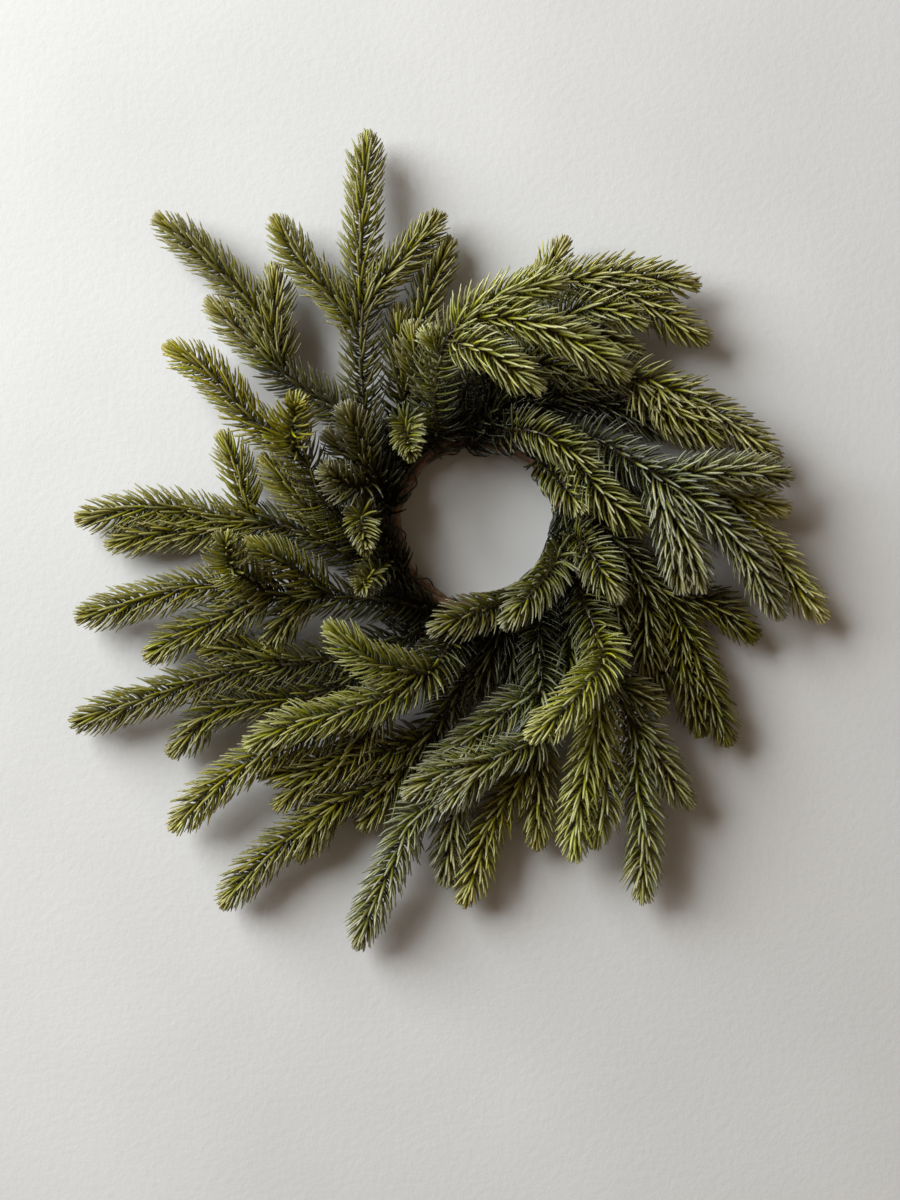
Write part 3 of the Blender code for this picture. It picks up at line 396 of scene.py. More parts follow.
def side_sprig(spray, listed, main, main_index):
    """A sprig that starts on the main stem, at the point nearest to its first place."""
    join = standing((*listed[0], listed[1][2]))
    joined = int(np.argmin(np.linalg.norm(main.points[:, :2] - join[:2], axis=1)))
    knots = [main.points[joined]] + [standing(point) for point in listed[1:]]
    path = cut_short(smooth_path(knots))
    free = np.ones(len(path))
    return Sprig(spray.name, path, free, (main_index, joined), BARE_BASE)


def all_sprigs():
    sprigs = []
    for spray in SPRAYS:
        main_index = len(sprigs)
        main = main_sprig(spray)
        sprigs.append(main)
        for listed in spray.sprigs[1:]:
            sprigs.append(side_sprig(spray, listed, main, main_index))
    return sprigs


def wire_path():
    """A closed helix round the ring, wide over the feet, close elsewhere and flattened below."""
    count = WIRE_TURNS * WIRE_POINTS_PER_TURN
    close = STRAND_OFFSET + STRAND_RADIUS + GAP + WIRE_RADIUS
    wide = FOOT_REACH + FOOT_RADIUS + GAP + WIRE_RADIUS
    points = []
    middle_of_feet = (OUTER + INNER) / 2
    for i in range(count):
        section = 360 * i / WIRE_POINTS_PER_TURN - 90
        off = abs((section - middle_of_feet + 180) % 360 - 180)
        blend = min(max((WIRE_CLOSE_FROM - off) / WIRE_EASING, 0), 1)
        point = ring_point(360 * i / count, section, between(close, wide, blend))
        point[2] = max(point[2], WIRE_LOWEST)
        points.append(point)
    return np.array(points)


def strand_path(strand):
    """One strand's middle. At ring angle 0 the section's lowest point lies between two strands."""
    points = []
    for i in range(STRAND_POINTS):
        angle = 360 * i / STRAND_POINTS
        section = 90 + 360 * strand / STRANDS + STRAND_TURNS * angle
        points.append(ring_point(angle, section, STRAND_OFFSET))
    return np.array(points)


def near_pairs(points, owners, reach):
    """Pairs of points of different sprays that lie within `reach` of each other."""
    first, second = [], []
    for i in range(len(points) - 1):
        near = np.linalg.norm(points[i + 1:] - points[i], axis=1) < reach
        found = np.nonzero(near & (owners[i + 1:] != owners[i]))[0] + i + 1
        first.append(np.full(len(found), i))
        second.append(found)
    return np.concatenate(first), np.concatenate(second)


def pushed_off_ring(points):
    """How far each point has to move to lie outside the channels round the ring."""
    across = np.hypot(points[:, 0], points[:, 1])
    out, up = across - RING_RADIUS, points[:, 2] - RING_HEIGHT
    reach = np.maximum(np.hypot(out, up), TINY)
    short = np.maximum(FOOT_REACH + GAP - reach, 0)
    flat = (short * out / reach)[:, None] * points[:, :2] / across[:, None]
    return np.column_stack([flat, short * up / reach])


def evened(shift, free):
    """A sprig's shifts, smoothed along it."""
    smooth = shift.copy()
    smooth[1:-1] = (shift[:-2] + 2 * shift[1:-1] + shift[2:]) / 4
    return smooth * (free > 0)[:, None]


def bend_clear(sprigs, wire):
    """Bends stems away from the stems of other sprays, the wire, the ring and the surface."""
    lines = sprigs + [Sprig("binding_wire", wire, np.zeros(len(wire)), None, 0)]
    starts = np.cumsum([0] + [len(line.points) for line in lines])
    names = sorted({line.spray for line in lines})
    owners = np.concatenate([np.full(len(line.points), names.index(line.spray)) for line in lines])
    points = np.concatenate([line.points for line in lines])
    free = np.concatenate([line.free for line in lines])
    lowest = np.concatenate([np.where(lengths_along(line.points) > line.bare + EASING_LENGTH,
                                      LEAFY_LOWEST, BARE_LOWEST) for line in lines])
    rest = points.copy()
    for turn in range(BENDING_ROUNDS):
        if turn % PAIRING_ROUNDS == 0:
            first, second = near_pairs(points, owners, PAIRING_REACH)
        apart = points[first] - points[second]
        distance = np.maximum(np.linalg.norm(apart, axis=1), TINY)
        weight = free[first] + free[second]
        close = (distance < STEM_CLEARANCE) & (weight > 0)
        share = (STEM_CLEARANCE - distance[close]) / distance[close] / weight[close]
        step = apart[close] * share[:, None]
        moved = np.zeros_like(points)
        np.add.at(moved, first[close], step * free[first[close]][:, None])
        np.add.at(moved, second[close], -step * free[second[close]][:, None])
        moved += pushed_off_ring(points) * (free > FREE_ENOUGH)[:, None]
        moved[:, 2] += np.maximum(lowest - points[:, 2], 0) * (free > FREE_ENOUGH)
        shift = points + BENDING_SHARE * moved - rest
        for k, line in enumerate(lines):
            part = slice(starts[k], starts[k + 1])
            if line.root:
                main, joined = line.root
                shift[starts[k]] = shift[starts[main] + joined]
            shift[part] = evened(shift[part], free[part])
        points = rest + shift
    return [sprig._replace(points=points[starts[k]:starts[k + 1]])
            for k, sprig in enumerate(sprigs)]


def stem_radii(sprig):
    """Radii that taper from the foot or the join to the tip."""
    along = lengths_along(sprig.points)
    along = along / along[-1]
    base = FOOT_RADIUS if sprig.root is None else (FOOT_RADIUS + TIP_RADIUS) / 2
    radii = between(base, TIP_RADIUS, along)
    if sprig.root is None:
        radii = radii + (STEM_RADIUS - FOOT_RADIUS) * np.sin(math.pi * along)
    return radii


def linked(name, data):
    obj = bpy.data.objects.new(name, data)
    bpy.context.scene.collection.objects.link(obj)
    return obj


class Shape:
    """A mesh gathered from parts: points, face corners, face sizes and each corner's map place."""

    def __init__(self):
        self.parts, self.count = [], 0

    def add(self, verts, corners, sizes, places):
        self.parts.append((verts, corners + self.count, sizes, places))
        self.count += len(verts)

    def made(self, name, material, middle):
        """The object, in metres and at the model's place."""
        verts, corners, sizes, places = (np.concatenate(part) for part in zip(*self.parts))
        verts = (verts + middle) * MM
        mesh = bpy.data.meshes.new(name)
        mesh.vertices.add(len(verts))
        mesh.vertices.foreach_set("co", verts.astype(np.float32).ravel())
        mesh.loops.add(len(corners))
        mesh.loops.foreach_set("vertex_index", corners.astype(np.int32))
        mesh.polygons.add(len(sizes))
        mesh.polygons.foreach_set("loop_start", (np.cumsum(sizes) - sizes).astype(np.int32))
        uv_map = mesh.uv_layers.new(name=UV_MAP)
        uv_map.uv.foreach_set("vector", places.astype(np.float32).ravel())
        mesh.update(calc_edges=True)
        mesh.shade_smooth()
        mesh.materials.append(material)
        return linked(name, mesh)


def carried_frames(points, closed=False):
    """A direction across a path at each point, carried along untwisted, and one square to it."""
    ahead = np.roll(points, -1, axis=0) - np.roll(points, 1, axis=0)
    if not closed:
        ahead[0], ahead[-1] = points[1] - points[0], points[-1] - points[-2]
    ahead /= np.linalg.norm(ahead, axis=1)[:, None]
    across = np.empty_like(points)
    guess = np.array(Vector(ahead[0]).orthogonal())
    for i, way in enumerate(ahead):
        guess = guess - way * (guess @ way)
        guess /= np.linalg.norm(guess)
        across[i] = guess
    over = np.cross(ahead, across)
    if closed:
        ends = math.atan2(across[0] @ over[-1], across[0] @ across[-1])
        back = np.linspace(0, ends, len(points), endpoint=False)[:, None]
        across, over = (across * np.cos(back) + over * np.sin(back),
                        over * np.cos(back) - across * np.sin(back))
    return across, over


def add_tube(shape, points, radii, sides, band, closed=False):
    """Adds a tube, with a radius for each point or each point and side. `band` is its v range."""
    across, over = carried_frames(points, closed)
    radii = np.broadcast_to(np.reshape(radii, (len(points), -1)), (len(points), sides))
    turn = FULL_TURN * np.arange(sides) / sides
    ring = across[:, None] * np.cos(turn)[:, None] + over[:, None] * np.sin(turn)[:, None]
    verts = (points[:, None] + ring * radii[:, :, None]).reshape(-1, 3)
    spans = len(points) if closed else len(points) - 1
    i, j = np.meshgrid(np.arange(spans), np.arange(sides), indexing="ij")
    quad = ((i, j), (i, j + 1), (i + 1, j + 1), (i + 1, j))
    corners = np.stack([a % len(points) * sides + b % sides for a, b in quad], axis=-1)
    tall = band[1] - band[0]
    places = np.stack([part for a, b in quad for part in (a / spans, band[0] + tall * b / sides)],
                      axis=-1)
    shape.add(verts, corners.reshape(-1), np.full(spans * sides, 4), places.reshape(-1, 2))
    if not closed:
        around = np.stack([0.5 + CAP_WIDTH * np.cos(turn),
                           (band[0] + band[1]) / 2 + CAP_HEIGHT * tall * np.sin(turn)], axis=1)
        shape.add(verts[:sides], np.arange(sides)[::-1], np.array([sides]), around[::-1])
        shape.add(verts[-sides:], np.arange(sides), np.array([sides]), around)


def needle_pattern():
    """A needle's face corners, face sizes and each corner's place as (sides round, share along)."""
    corners, sizes, places = [], [], []
    for k, (low, high) in enumerate(zip(LEVELS[:-2], LEVELS[1:])):
        first, above = NEEDLE_SIDES * k, NEEDLE_SIDES * (k + 1)
        for j in range(NEEDLE_SIDES):
            beside = (j + 1) % NEEDLE_SIDES
            corners += [first + j, first + beside, above + beside, above + j]
            places += [(j, low), (j + 1, low), (j + 1, high), (j, high)]
            sizes.append(4)
    top, point = NEEDLE_SIDES * (len(LEVELS) - 2), NEEDLE_SIDES * (len(LEVELS) - 1)
    for j in range(NEEDLE_SIDES):
        corners += [top + j, top + (j + 1) % NEEDLE_SIDES, point]
        places += [(j, LEVELS[-2]), (j + 1, LEVELS[-2]), (j + 0.5, 1)]
        sizes.append(3)
    return np.array(corners), np.array(sizes), np.array(places, float)


def eased_above(values, low, eased):
    """The values, those under `eased` bent smoothly so that none comes under `low`."""
    room = eased - low
    return np.where(values < eased, low + room * np.exp((values - eased) / room), values)


def kept_clear(points):
    """Needle points moved up off the surface, out of the candle's room and out of the vine ring."""
    points = points.copy()
    points[..., 2] = eased_above(points[..., 2], NEEDLE_LOWEST, NEEDLE_LOWEST + CLEARING_ROOM)
    across = np.maximum(np.hypot(points[..., 0], points[..., 1]), TINY)
    wanted = eased_above(across, CANDLE_RADIUS + GAP, CANDLE_RADIUS + GAP + CLEARING_ROOM)
    points[..., :2] *= (wanted / across)[..., None]
    across = wanted
    out, up = across - RING_RADIUS, points[..., 2] - RING_HEIGHT
    reach = np.maximum(np.hypot(out, up), TINY)
    ring = STRAND_OFFSET + STRAND_RADIUS + NEEDLE_THICKNESS
    grown = np.maximum(reach, ring) / reach
    points[..., :2] *= ((RING_RADIUS + out * grown) / across)[..., None]
    points[..., 2] = np.maximum(RING_HEIGHT + up * grown, NEEDLE_LOWEST)
    return points


def needle_places(sprig, draw):
    """Where along a sprig its needles start: denser at the young end, with a fan at the tip."""
    last = lengths_along(sprig.points)[-1]
    first = sprig.bare if sprig.root else max(sprig.bare - LEAFY_FOOT, FIRST_NEEDLE)
    fine = np.linspace(first, last, DENSITY_STEPS)
    age = np.clip((last - fine) / AGEING_LENGTH, 0, 1)
    density = between(*DENSITIES, age)
    total = np.concatenate([[0.0], np.cumsum((density[1:] + density[:-1]) / 2 * np.diff(fine))])
    count = int(total[-1])
    places = np.interp(np.arange(count) + draw.uniform(*PLACE_RANGE, count), total, fine)
    return np.concatenate([places, last - draw.uniform(0, TIP_NEEDLE_ZONE, TIP_NEEDLES)])


def unit(ways):
    return ways / np.maximum(np.linalg.norm(ways, axis=-1, keepdims=True), TINY)


def needle_leans(age, end, steepness, draw):
    """How far each needle leans off its stem, at its root and at its point, in degrees."""
    count = len(age)
    fan = draw.uniform(*FAN_LEANS, count)
    root = between(fan, between(*ROOT_LEANS, age), end) + draw.normal(0, ROOT_SPREAD, count)
    point = between(*POINT_LEANS, age) * end + FAN_CLOSING * fan * (1 - end)
    point += draw.normal(0, POINT_SPREAD, count) + STEEP_SPREAD * steepness
    return root, point


def needle_lines(sprig, draw):
    """Each needle's middle line, the way of its broad side, its age from 0 to 1, how far it points
    up and how far it stands from the foot. On the foot only those are kept that turn away from the
    hole or lie to the right of it."""
    along = lengths_along(sprig.points)
    last = along[-1]
    places = needle_places(sprig, draw)
    count = len(places)

    def at(where):
        return np.stack([np.interp(where, along, sprig.points[:, k]) for k in range(3)], axis=1)

    tangent = unit(at(np.minimum(places + TANGENT_REACH, last))
                   - at(np.maximum(places - TANGENT_REACH, 0)))
    aside = unit(np.cross(tangent, (0, 0, 1)))
    upward = np.cross(aside, tangent)
    age = np.clip((last - places) / AGEING_LENGTH, 0, 1)
    # 0 at the sprig's tip, and 1 from the end of its zone on.
    end = np.clip((last - places) / TIP_ZONE, 0, 1) ** TIP_POWER
    spin = np.radians(GOLDEN_ANGLE) * np.arange(count) + draw.uniform(0, FULL_TURN)
    spin += draw.normal(0, SPIN_SPREAD, count)
    spin += PARTING * (np.sin(spin) + np.sin(2 * spin)) * end
    outward = upward * np.cos(spin)[:, None] + aside * np.sin(spin)[:, None]
    swirl = np.cross(tangent, outward)
    root_lean, point_lean = needle_leans(age, end, np.clip(tangent[:, 2], 0, 1), draw)
    longest = TUFT_NEEDLE_LENGTH if sprig.spray.startswith("tuft") else NEEDLE_LENGTH
    length = longest * between(TIP_SHORTNESS, 1, end) * draw.uniform(*LENGTH_RANGE, count)
    sway = np.radians(draw.normal(0, SWAY_SPREAD, count))
    lines = [at(places) + outward * ROOT_DEPTH]
    for low, high in zip(LEVELS, LEVELS[1:]):
        share = (low + high) / 2
        lean = np.radians(between(root_lean, point_lean, share ** LEAN_POWER))[:, None]
        turned = outward * np.cos(sway * share)[:, None] + swirl * np.sin(sway * share)[:, None]
        way = tangent * np.cos(lean) + turned * np.sin(lean)
        lines.append(lines[-1] + way * (length * (high - low))[:, None])
    lines = kept_clear(np.stack(lines, axis=1))
    out = np.hypot(lines[..., 0], lines[..., 1])
    turned_out = (out[:, -1] > RING_RADIUS + STRAND_RADIUS) & (out.min(axis=1) > RING_RADIUS + 1)
    over_right_edge = lines[:, 0, 0] > COVERED_FROM
    kept = (places > sprig.bare) | turned_out | over_right_edge
    from_foot = places - sprig.bare if sprig.root is None else np.full(count, last)
    return lines[kept], swirl[kept], age[kept], outward[kept, 2], from_foot[kept]


def lengthened(points, length):
    """The path with a straight piece added at its end."""
    way = points[-1] - points[-3]
    return np.concatenate([points, [points[-1] + way / np.linalg.norm(way) * length]])


def paleness(spray, middle, from_foot, up):
    """Two factors for how pale needles are, both painted shade: by their distance from the ring,
    and by their side, darker on the underside.
    """
    # Needles near the ring are painted dark, as shade deep inside the wreath.
    off_ring = np.hypot(np.hypot(middle[:, 0], middle[:, 1]) - RING_RADIUS,
                        middle[:, 2] - RING_HEIGHT)
    pale = np.clip((off_ring - DARK_REACH) / (PALE_REACH - DARK_REACH), 0, 1)
    # Rim sprays come out of that painted shade soon after their foot.
    if spray in PALE_RIM:
        dark_to, pale_from = PALE_RIM[spray]
        young = np.clip((from_foot - dark_to) / (pale_from - dark_to), 0, 1)
        pale = np.maximum(pale * np.clip(RIM_STEEPNESS * young, 0, 1), RIM_UNSHADED * young)
    # Needles facing down are painted darker, as shade on the underside.
    under = EVEN_UNDERSIDE if spray in EVEN_SPRAYS else UNDERSIDE
    return pale, between(under, 1, np.clip(0.5 + up, 0, 1))


def add_needles(shape, sprig, draw):
    """Adds the needles of one sprig. Those near the ring get the darkest tints, as painted shade.
    """
    lines, broad, age, up, from_foot = needle_lines(sprig, draw)
    count = len(lines)
    size = draw.uniform(*SIZE_RANGE, (count, 1))
    verts = np.empty((count, NEEDLE_SIDES * len(LEVEL_WIDTHS) + 1, 3))
    for k, width in enumerate(LEVEL_WIDTHS):
        thin = unit(np.cross(lines[:, k + 1] - lines[:, k], broad))
        wide = broad * (0.5 * NEEDLE_WIDTH * width * size)
        deep = thin * (0.5 * NEEDLE_THICKNESS * width * size)
        around = np.stack([wide, deep, -wide, -deep], axis=1)
        verts[:, NEEDLE_SIDES * k:NEEDLE_SIDES * (k + 1)] = lines[:, k, None] + around
    verts[:, -1] = lines[:, -1]
    pale, shade = paleness(sprig.spray, lines[:, len(LEVELS) // 2], from_foot, up)
    # The tint cell is picked by youth, by painted shade near the ring and on the underside, and at
    # random.
    youth_and_shade = (1 - LASTING * age) * pale * shade + draw.normal(0, YOUTH_SPREAD, count)
    cell = np.floor(np.clip(youth_and_shade, 0, 0.999) * TINT_CELLS)
    corners, sizes, pattern = needle_pattern()
    across = between(CELL_MARGIN, 1 - CELL_MARGIN, pattern[None, :, 0] / NEEDLE_SIDES)
    u = (cell[:, None] + across) / TINT_CELLS
    v = np.broadcast_to(between(NEEDLES_FROM, 1, pattern[None, :, 1]), u.shape)
    firsts = verts.shape[1] * np.arange(count)
    shape.add(verts.reshape(-1, 3), (corners[None] + firsts[:, None]).reshape(-1),
              np.tile(sizes, count), np.stack([u, v], axis=-1).reshape(-1, 2))


def spray_pieces(sprigs, materials, middle):
    """One piece for each spray: its stems and all its needles."""
    draw = np.random.default_rng(SEED)
    for spray in SPRAYS:
        own = [sprig._replace(points=lengthened(sprig.points, TIP_GROWTH)) for sprig in sprigs
               if sprig.spray == spray.name]
        shape = Shape()
        for sprig in own:
            add_tube(shape, sprig.points, stem_radii(sprig), STEM_SIDES, STEM_ROWS)
            add_needles(shape, sprig, draw)
        piece = shape.made("fine_" + spray.name, materials[spray.name], middle)
        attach(piece, "root")
        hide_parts(spray.name)


def waves(parts, draw):
    """A smooth closed random curve along a strand, with a standard deviation of about one."""
    turn = FULL_TURN * np.arange(STRAND_POINTS) / STRAND_POINTS
    total = np.zeros(STRAND_POINTS)
    for k in range(1, parts + 1):
        total += draw.normal(0, 1) * np.cos(k * turn) + draw.normal(0, 1) * np.sin(k * turn)
    return total / math.sqrt(parts)


def vine_pieces(material, middle):
    """The strands, round and uneven as real vine, pressed flat where they touch the surface."""
    draw = np.random.default_rng(SEED + 1)
    side = FULL_TURN * np.arange(STRAND_SIDES) / STRAND_SIDES
    half = STRAND_POINTS / 2
    for strand in range(STRANDS):
        radii = STRAND_RADIUS + SWELLING * waves(SWELLING_WAVES, draw)[:, None]
        for ribs in RIBS:
            drift = draw.uniform(*RIB_PHASES) + RIB_DRIFT * waves(RIB_WAVES, draw)
            radii = radii + RIB_HEIGHT * np.cos(ribs * side[None, :] + drift[:, None])
        for _ in range(KNOTS):
            knot, spot = draw.integers(STRAND_POINTS), draw.uniform(0, FULL_TURN)
            off = np.abs((np.arange(STRAND_POINTS) - knot + half) % STRAND_POINTS - half)
            facing = 0.5 + 0.5 * np.cos(side - spot)
            bump = np.exp(-(off / KNOT_LENGTH) ** 2)[:, None] * facing[None, :] ** 2
            radii = radii + KNOT_HEIGHT * bump
        shape = Shape()
        add_tube(shape, strand_path(strand), np.clip(radii, STRAND_THINNEST, STRAND_THICKEST),
                 STRAND_SIDES, (0, 1), closed=True)
        for verts, *_ in shape.parts:
            verts[:, 2] = np.maximum(verts[:, 2], 0)
        piece = shape.made(f"fine_vine_{strand + 1}", material, middle)
        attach(piece, "root")
        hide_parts(f"vine_{strand + 1}")


def wire_piece(wire, material, middle):
    """The binding wire, round, on the line that its solid follows."""
    shape = Shape()
    fine = np.linspace(0, len(wire), WIRE_FINENESS * len(wire), endpoint=False)
    closed = np.concatenate([wire, wire[:1]])
    points = np.stack([np.interp(fine, np.arange(len(closed)), closed[:, k])
                       for k in range(3)], axis=1)
    for _ in range(WIRE_SMOOTHINGS):
        points = (np.roll(points, 1, axis=0) + 2 * points + np.roll(points, -1, axis=0)) / 4
    add_tube(shape, points, np.full(len(points), WIRE_RADIUS), WIRE_SIDES, (0, 1), closed=True)
    piece = shape.made("fine_binding_wire", material, middle)
    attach(piece, "root")
    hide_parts("binding_wire")


class Nodes:
    """Short ways to build a material's nodes."""

    def __init__(self, name):
        self.material = bpy.data.materials.new(name)
        self.material.use_nodes = True
        self.tree = self.material.node_tree
        self.shader = self.tree.nodes["Principled BSDF"]

    def node(self, kind, inputs=(), **settings):
        made = self.tree.nodes.new("ShaderNode" + kind)
        for name, value in settings.items():
            setattr(made, name, value)
        for key, value in dict(inputs).items():
            self.feed(made.inputs[key], value)
        return made

    def feed(self, socket, value):
        if isinstance(value, bpy.types.NodeSocket):
            self.tree.links.new(value, socket)
        else:
            socket.default_value = (*value, 1) if socket.type == "RGBA" else value

    def maths(self, operation, first, second=0):
        return self.node("Math", {0: first, 1: second}, operation=operation).outputs[0]

    def ranged(self, value, source=(0, 1), target=(0, 1)):
        """The value, mapped from one range to another."""
        return self.node("MapRange", dict(enumerate([value, *source, *target]))).outputs[0]

    def mixed(self, share, first, second, blend="MIX"):
        return self.node("Mix", {0: share, 6: first, 7: second}, data_type="RGBA",
                         blend_type=blend).outputs[2]

    def ramp(self, share, stops):
        made = self.node("ValToRGB", {"Fac": share})
        while len(made.color_ramp.elements) < len(stops):
            made.color_ramp.elements.new(0.5)
        for element, (place, colour) in zip(made.color_ramp.elements, stops):
            element.position = place
            element.color = (*colour, 1)
        return made.outputs[0]

    def noise(self, vector, scale, detail=3, roughness=0.5, stretch=None):
        if stretch:
            vector = self.node("Mapping", {"Vector": vector, "Scale": stretch}).outputs[0]
        return self.node("TexNoise", {"Vector": vector, "Scale": scale, "Detail": detail,
                                      "Roughness": roughness}).outputs[0]

    def finish(self, colour, roughness, height, strength, distance):
        """Feeds the shader a colour, a roughness and a bump, and gives the material."""
        self.feed(self.shader.inputs["Base Color"], colour)
        self.feed(self.shader.inputs["Roughness"], roughness)
        bump = self.node("Bump", {"Strength": strength, "Distance": distance, "Height": height})
        self.feed(self.shader.inputs["Normal"], bump.outputs[0])
        return self.material


def shaded(colour, factor, blueness=1.0):
    """A colour made lighter or darker by a factor, with its blue changed by another one too."""
    red, green, blue = (min(part * factor, 1.0) for part in colour)
    return red, green, min(blue * blueness, 1.0)


# A needle's colours: places along it, shares of the full colour (the root shades are above) and
# factors for its blue. The dark root is painted shade between the needles. Across it, the edges are
# painted darker as shade. The last ramp is the bark of stems.
ROOT_STOPS = ((0, 0.1), (0.18, 0.25))
# Towards the point a needle turns paler and bluer: partly its own lighter tip, partly a painted
# whitish highlight.
BODY_STOPS = ((0.42, 0.96, 0.5), (0.85, 1.24, 1.85), (1, 1.25, 2.7))
EDGE_SHADE_RAMP = [(0.05, (0.5, 0.48, 0.2)), (0.4, (0.9, 0.88, 0.65)), (0.9, (1, 1, 1))]
STEM_RAMP = [(0.3, (0.018, 0.014, 0.006)), (0.7, (0.06, 0.04, 0.016))]
# The youth and painted shade at which a needle has the tint's middle colour, and how dark its
# blotches are.
MIDDLE_YOUTH_AND_SHADE, BLOTCH_SHADE = 0.45, 0.3
# Ranges of hue, saturation and value from cell to cell, with factors that mix up their order.
HUES, SATURATIONS, VALUES, SHUFFLES = (0.485, 0.515), (0.82, 1.1), (0.78, 1.22), (7.3, 13.7)
NEEDLE_ROUGHNESS, NEEDLE_SPECULAR, RIDGE_HEIGHT = (0.2, 0.32), 0.42, 0.25
# The vine's reddish brown and weathered grey, the wire's lacquer with worn spots, the surface.
BROWN_RAMP = [(0.28, (0.035, 0.017, 0.01)), (0.45, (0.18, 0.095, 0.053)),
              (0.62, (0.33, 0.19, 0.112)), (0.8, (0.45, 0.31, 0.21))]
GREY_RAMP = [(0.3, (0.085, 0.062, 0.047)), (0.7, (0.36, 0.29, 0.225))]
CRACK = (0.02, 0.01, 0.006)
LACQUER_RAMP = [(0.35, (0.01, 0.02, 0.011)), (0.62, (0.024, 0.042, 0.024)),
                (0.78, (0.075, 0.08, 0.065))]
SURFACE_RAMP = [(0.3, (0.53, 0.532, 0.525)), (0.7, (0.58, 0.582, 0.575))]
# Most of a noise's values lie in this range.
NOISE = (0.3, 0.7)


def needle_material(name, tint, roots):
    """Moulded needles: painted dark at the root as shade, pale at the point, partly as a painted
    highlight, each needle a shade of its own.
    """
    made = Nodes(name)
    place = made.node("UVMap", uv_map=UV_MAP).outputs[0]
    split = made.node("SeparateXYZ", {0: place})
    youth_and_shade, height = split.outputs[0], split.outputs[1]
    cells = made.maths("MULTIPLY", youth_and_shade, TINT_CELLS)
    around = made.maths("FRACT", cells)
    chance = made.node("TexWhiteNoise", {"W": made.maths("FLOOR", cells)},
                       noise_dimensions="1D").outputs[0]
    along = made.ranged(height, (NEEDLES_FROM, 1))
    # The root stops paint shade at the needle's root.
    stops = [(stop, root, blueness) for (stop, blueness), root in zip(ROOT_STOPS, roots)]
    ramps = [made.ramp(along, [(stop, shaded(body, share, blueness))
                               for stop, share, blueness in (*stops, *BODY_STOPS)])
             for body in tint]
    colour = made.mixed(made.ranged(youth_and_shade, (0, MIDDLE_YOUTH_AND_SHADE)), ramps[0], ramps[1])
    colour = made.mixed(made.ranged(youth_and_shade, (MIDDLE_YOUTH_AND_SHADE, 1)), colour, ramps[2])
    ridge = made.maths("ABSOLUTE", made.maths("SINE", made.maths("MULTIPLY", around, FULL_TURN)))
    # The edges are painted darker as shade, and the ridge is left lighter as a painted highlight.
    colour = made.mixed(1, colour, made.ramp(ridge, EDGE_SHADE_RAMP), "MULTIPLY")
    blotch = made.noise(place, 3, stretch=(90, 7, 1))
    colour = made.mixed(made.ranged(blotch, (0.4, 0.75), (0, 0.35)), colour,
                        shaded(tint.middle, BLOTCH_SHADE))
    others = [made.maths("FRACT", made.maths("MULTIPLY", chance, factor)) for factor in SHUFFLES]
    varied = made.node("HueSaturation", {
        "Hue": made.ranged(chance, target=HUES),
        "Saturation": made.ranged(others[0], target=SATURATIONS),
        "Value": made.ranged(others[1], target=VALUES),
        "Color": colour}).outputs[0]
    grain = made.noise(place, 2, stretch=(60, 400, 1))
    on_stem = made.maths("LESS_THAN", height, STEM_BAND)
    made.feed(made.shader.inputs["Specular IOR Level"], NEEDLE_SPECULAR)
    return made.finish(made.mixed(on_stem, varied, made.ramp(grain, STEM_RAMP)),
                       made.ranged(grain, NOISE, NEEDLE_ROUGHNESS),
                       made.maths("ADD", made.maths("MULTIPLY", ridge, RIDGE_HEIGHT), grain),
                       strength=0.25, distance=0.0002)


def needle_materials():
    """The material of each spray. Sprays of one tint, lightness and blueness share theirs."""
    made, materials = {}, {}
    for spray in SPRAYS:
        roots = EVEN_ROOT_SHADES if spray.name in EVEN_SPRAYS else ROOT_SHADES
        factors = spray.lightness, spray.blueness
        name = "_".join(["needles", spray.tint]
                        + [str(round(100 * factor)) for factor in (*factors, roots[1])])
        if name not in made:
            tint = Tint(*(shaded(body, *factors) for body in TINTS[spray.tint]))
            made[name] = needle_material(name, tint, roots)
        materials[spray.name] = made[name]
    return materials


def vine_material():
    """Dry bark: reddish brown with grey weathered fibres along the strand and dark cracks."""
    made = Nodes("vine_bark")
    place = made.node("UVMap", uv_map=UV_MAP).outputs[0]
    fibres = made.noise(place, 2.2, 6, 0.65, stretch=(38, 9, 1))
    patches = made.noise(place, 1.3, stretch=(26, 1.6, 1))
    rings = made.noise(place, 1, 2, stretch=(260, 2, 1))
    colour = made.mixed(made.ranged(patches, (0.52, 0.66), (0, 0.8)),
                        made.ramp(fibres, BROWN_RAMP), made.ramp(fibres, GREY_RAMP))
    colour = made.mixed(made.ranged(rings, (0.6, 0.72), (0, 0.55)), colour, CRACK)
    return made.finish(colour, made.ranged(fibres, NOISE, (0.85, 0.6)),
                       made.maths("ADD", fibres, made.maths("MULTIPLY", rings, 0.5)),
                       strength=0.6, distance=0.0006)


def wire_material():
    """Dark green lacquer, a little worn, with the faint marks of winding."""
    made = Nodes("wire_lacquer")
    place = made.node("UVMap", uv_map=UV_MAP).outputs[0]
    worn = made.noise(place, 1, stretch=(700, 3, 1))
    marks = made.noise(place, 2, 4, stretch=(90, 12, 1))
    return made.finish(made.ramp(worn, LACQUER_RAMP), made.ranged(marks, NOISE, (0.28, 0.5)),
                       marks, strength=0.15, distance=0.0001)


def surface_material():
    """A plain pale surface with a fine grain."""
    made = Nodes("pale_surface")
    place = made.node("TexCoord").outputs["Object"]
    grain = made.noise(place, 240, 6, 0.6)
    return made.finish(made.ramp(made.noise(place, 6, 4), SURFACE_RAMP),
                       made.ranged(grain, NOISE, (0.8, 0.95)), grain,
                       strength=0.25, distance=0.0008)


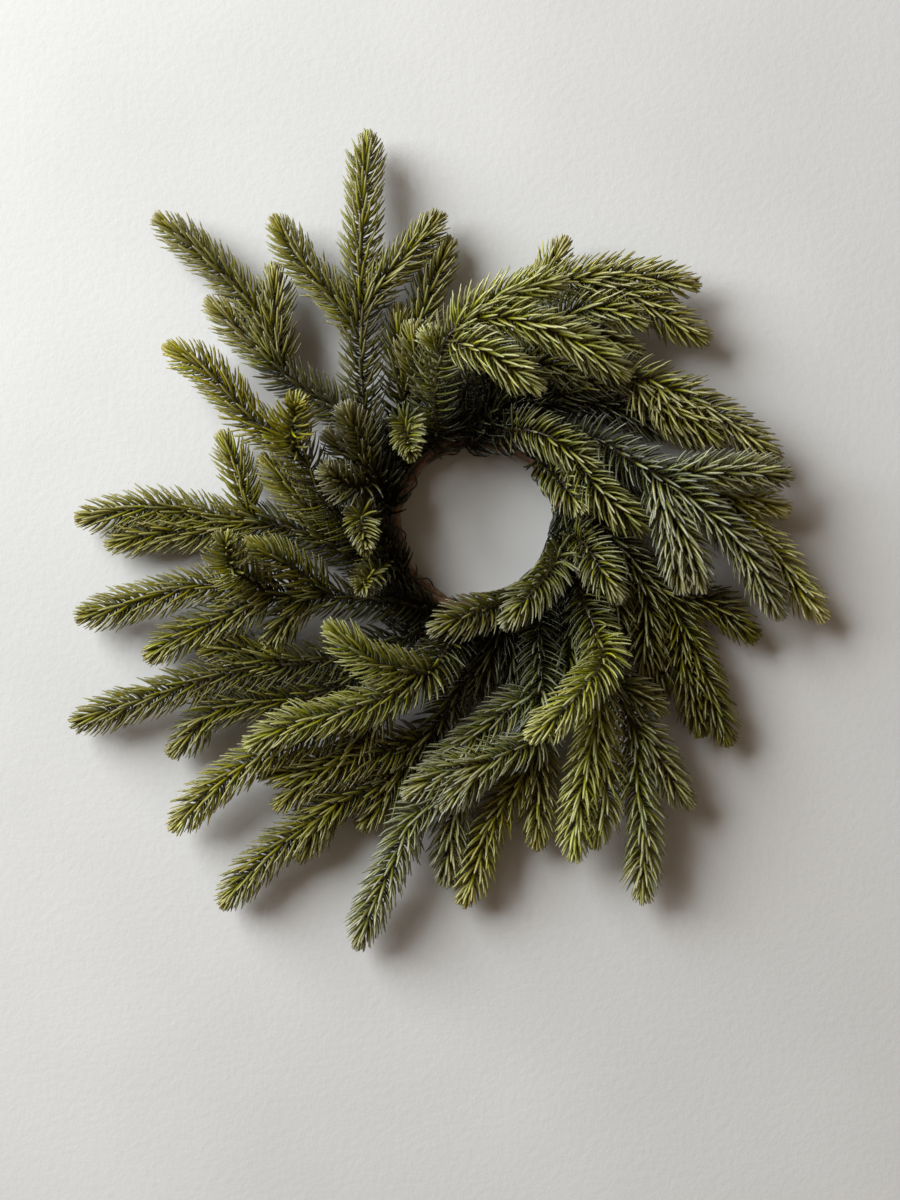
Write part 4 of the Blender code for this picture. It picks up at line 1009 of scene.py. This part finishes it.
def floor_piece():
    """The surface under the ring, wide enough to fill low views."""
    mesh = bpy.data.meshes.new("surface")
    corners = [(x * FLOOR_HALF, y * FLOOR_HALF, 0) for x, y in ((-1, -1), (1, -1), (1, 1), (-1, 1))]
    mesh.from_pydata(corners, [], [(0, 1, 2, 3)])
    mesh.materials.append(surface_material())
    floor = linked("surface", mesh)


def lighting():
    """Soft light from the upper left, and a weak even light from all round."""
    light = bpy.data.lights.new("key", "AREA")
    light.shape = "DISK"
    light.size = KEY_SIZE
    light.energy = KEY_POWER
    light.color = KEY_COLOUR
    key = linked("key", light)
    key.location = KEY_PLACE
    key.rotation_mode = "QUATERNION"
    key.rotation_quaternion = (-Vector(KEY_PLACE)).to_track_quat("-Z", "Y")
    world = bpy.data.worlds.new("studio")
    world.use_nodes = True
    back = world.node_tree.nodes["Background"]
    back.inputs["Color"].default_value = (*WORLD_COLOUR, 1)
    back.inputs["Strength"].default_value = WORLD_STRENGTH
    bpy.context.scene.world = world
    bpy.context.scene.view_settings.view_transform = "Standard"


def camera(middle):
    """The photograph's view: from straight above, at the height that the plan is drawn for."""
    lens = bpy.data.cameras.new("camera")
    lens.sensor_width = SENSOR
    lens.lens = SENSOR * EYE_HEIGHT / (FRAME_LENGTH * PIXEL)
    eye = linked("camera", lens)
    eye.location = ((EYE_FOOT[0] + middle[0]) * MM, (EYE_FOOT[1] + middle[1]) * MM, EYE_HEIGHT * MM)
    bpy.context.scene.camera = eye


def ring_middle():
    """The middle of the hole in the model's frame, in millimetres."""
    strands = [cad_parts[f"vine_{k + 1}"].data for k in range(STRANDS)]
    corners = np.array([corner.co for strand in strands for corner in strand.vertices])
    return np.array([*corners.mean(axis=0)[:2], 0.0]) / MM


def main():
    middle = ring_middle()
    wire = wire_path()
    sprigs = bend_clear(all_sprigs(), wire)
    spray_pieces(sprigs, needle_materials(), middle)
    vine_pieces(vine_material(), middle)
    wire_piece(wire, wire_material(), middle)
    floor_piece()
    lighting()
    camera(middle)
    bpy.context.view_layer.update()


main()
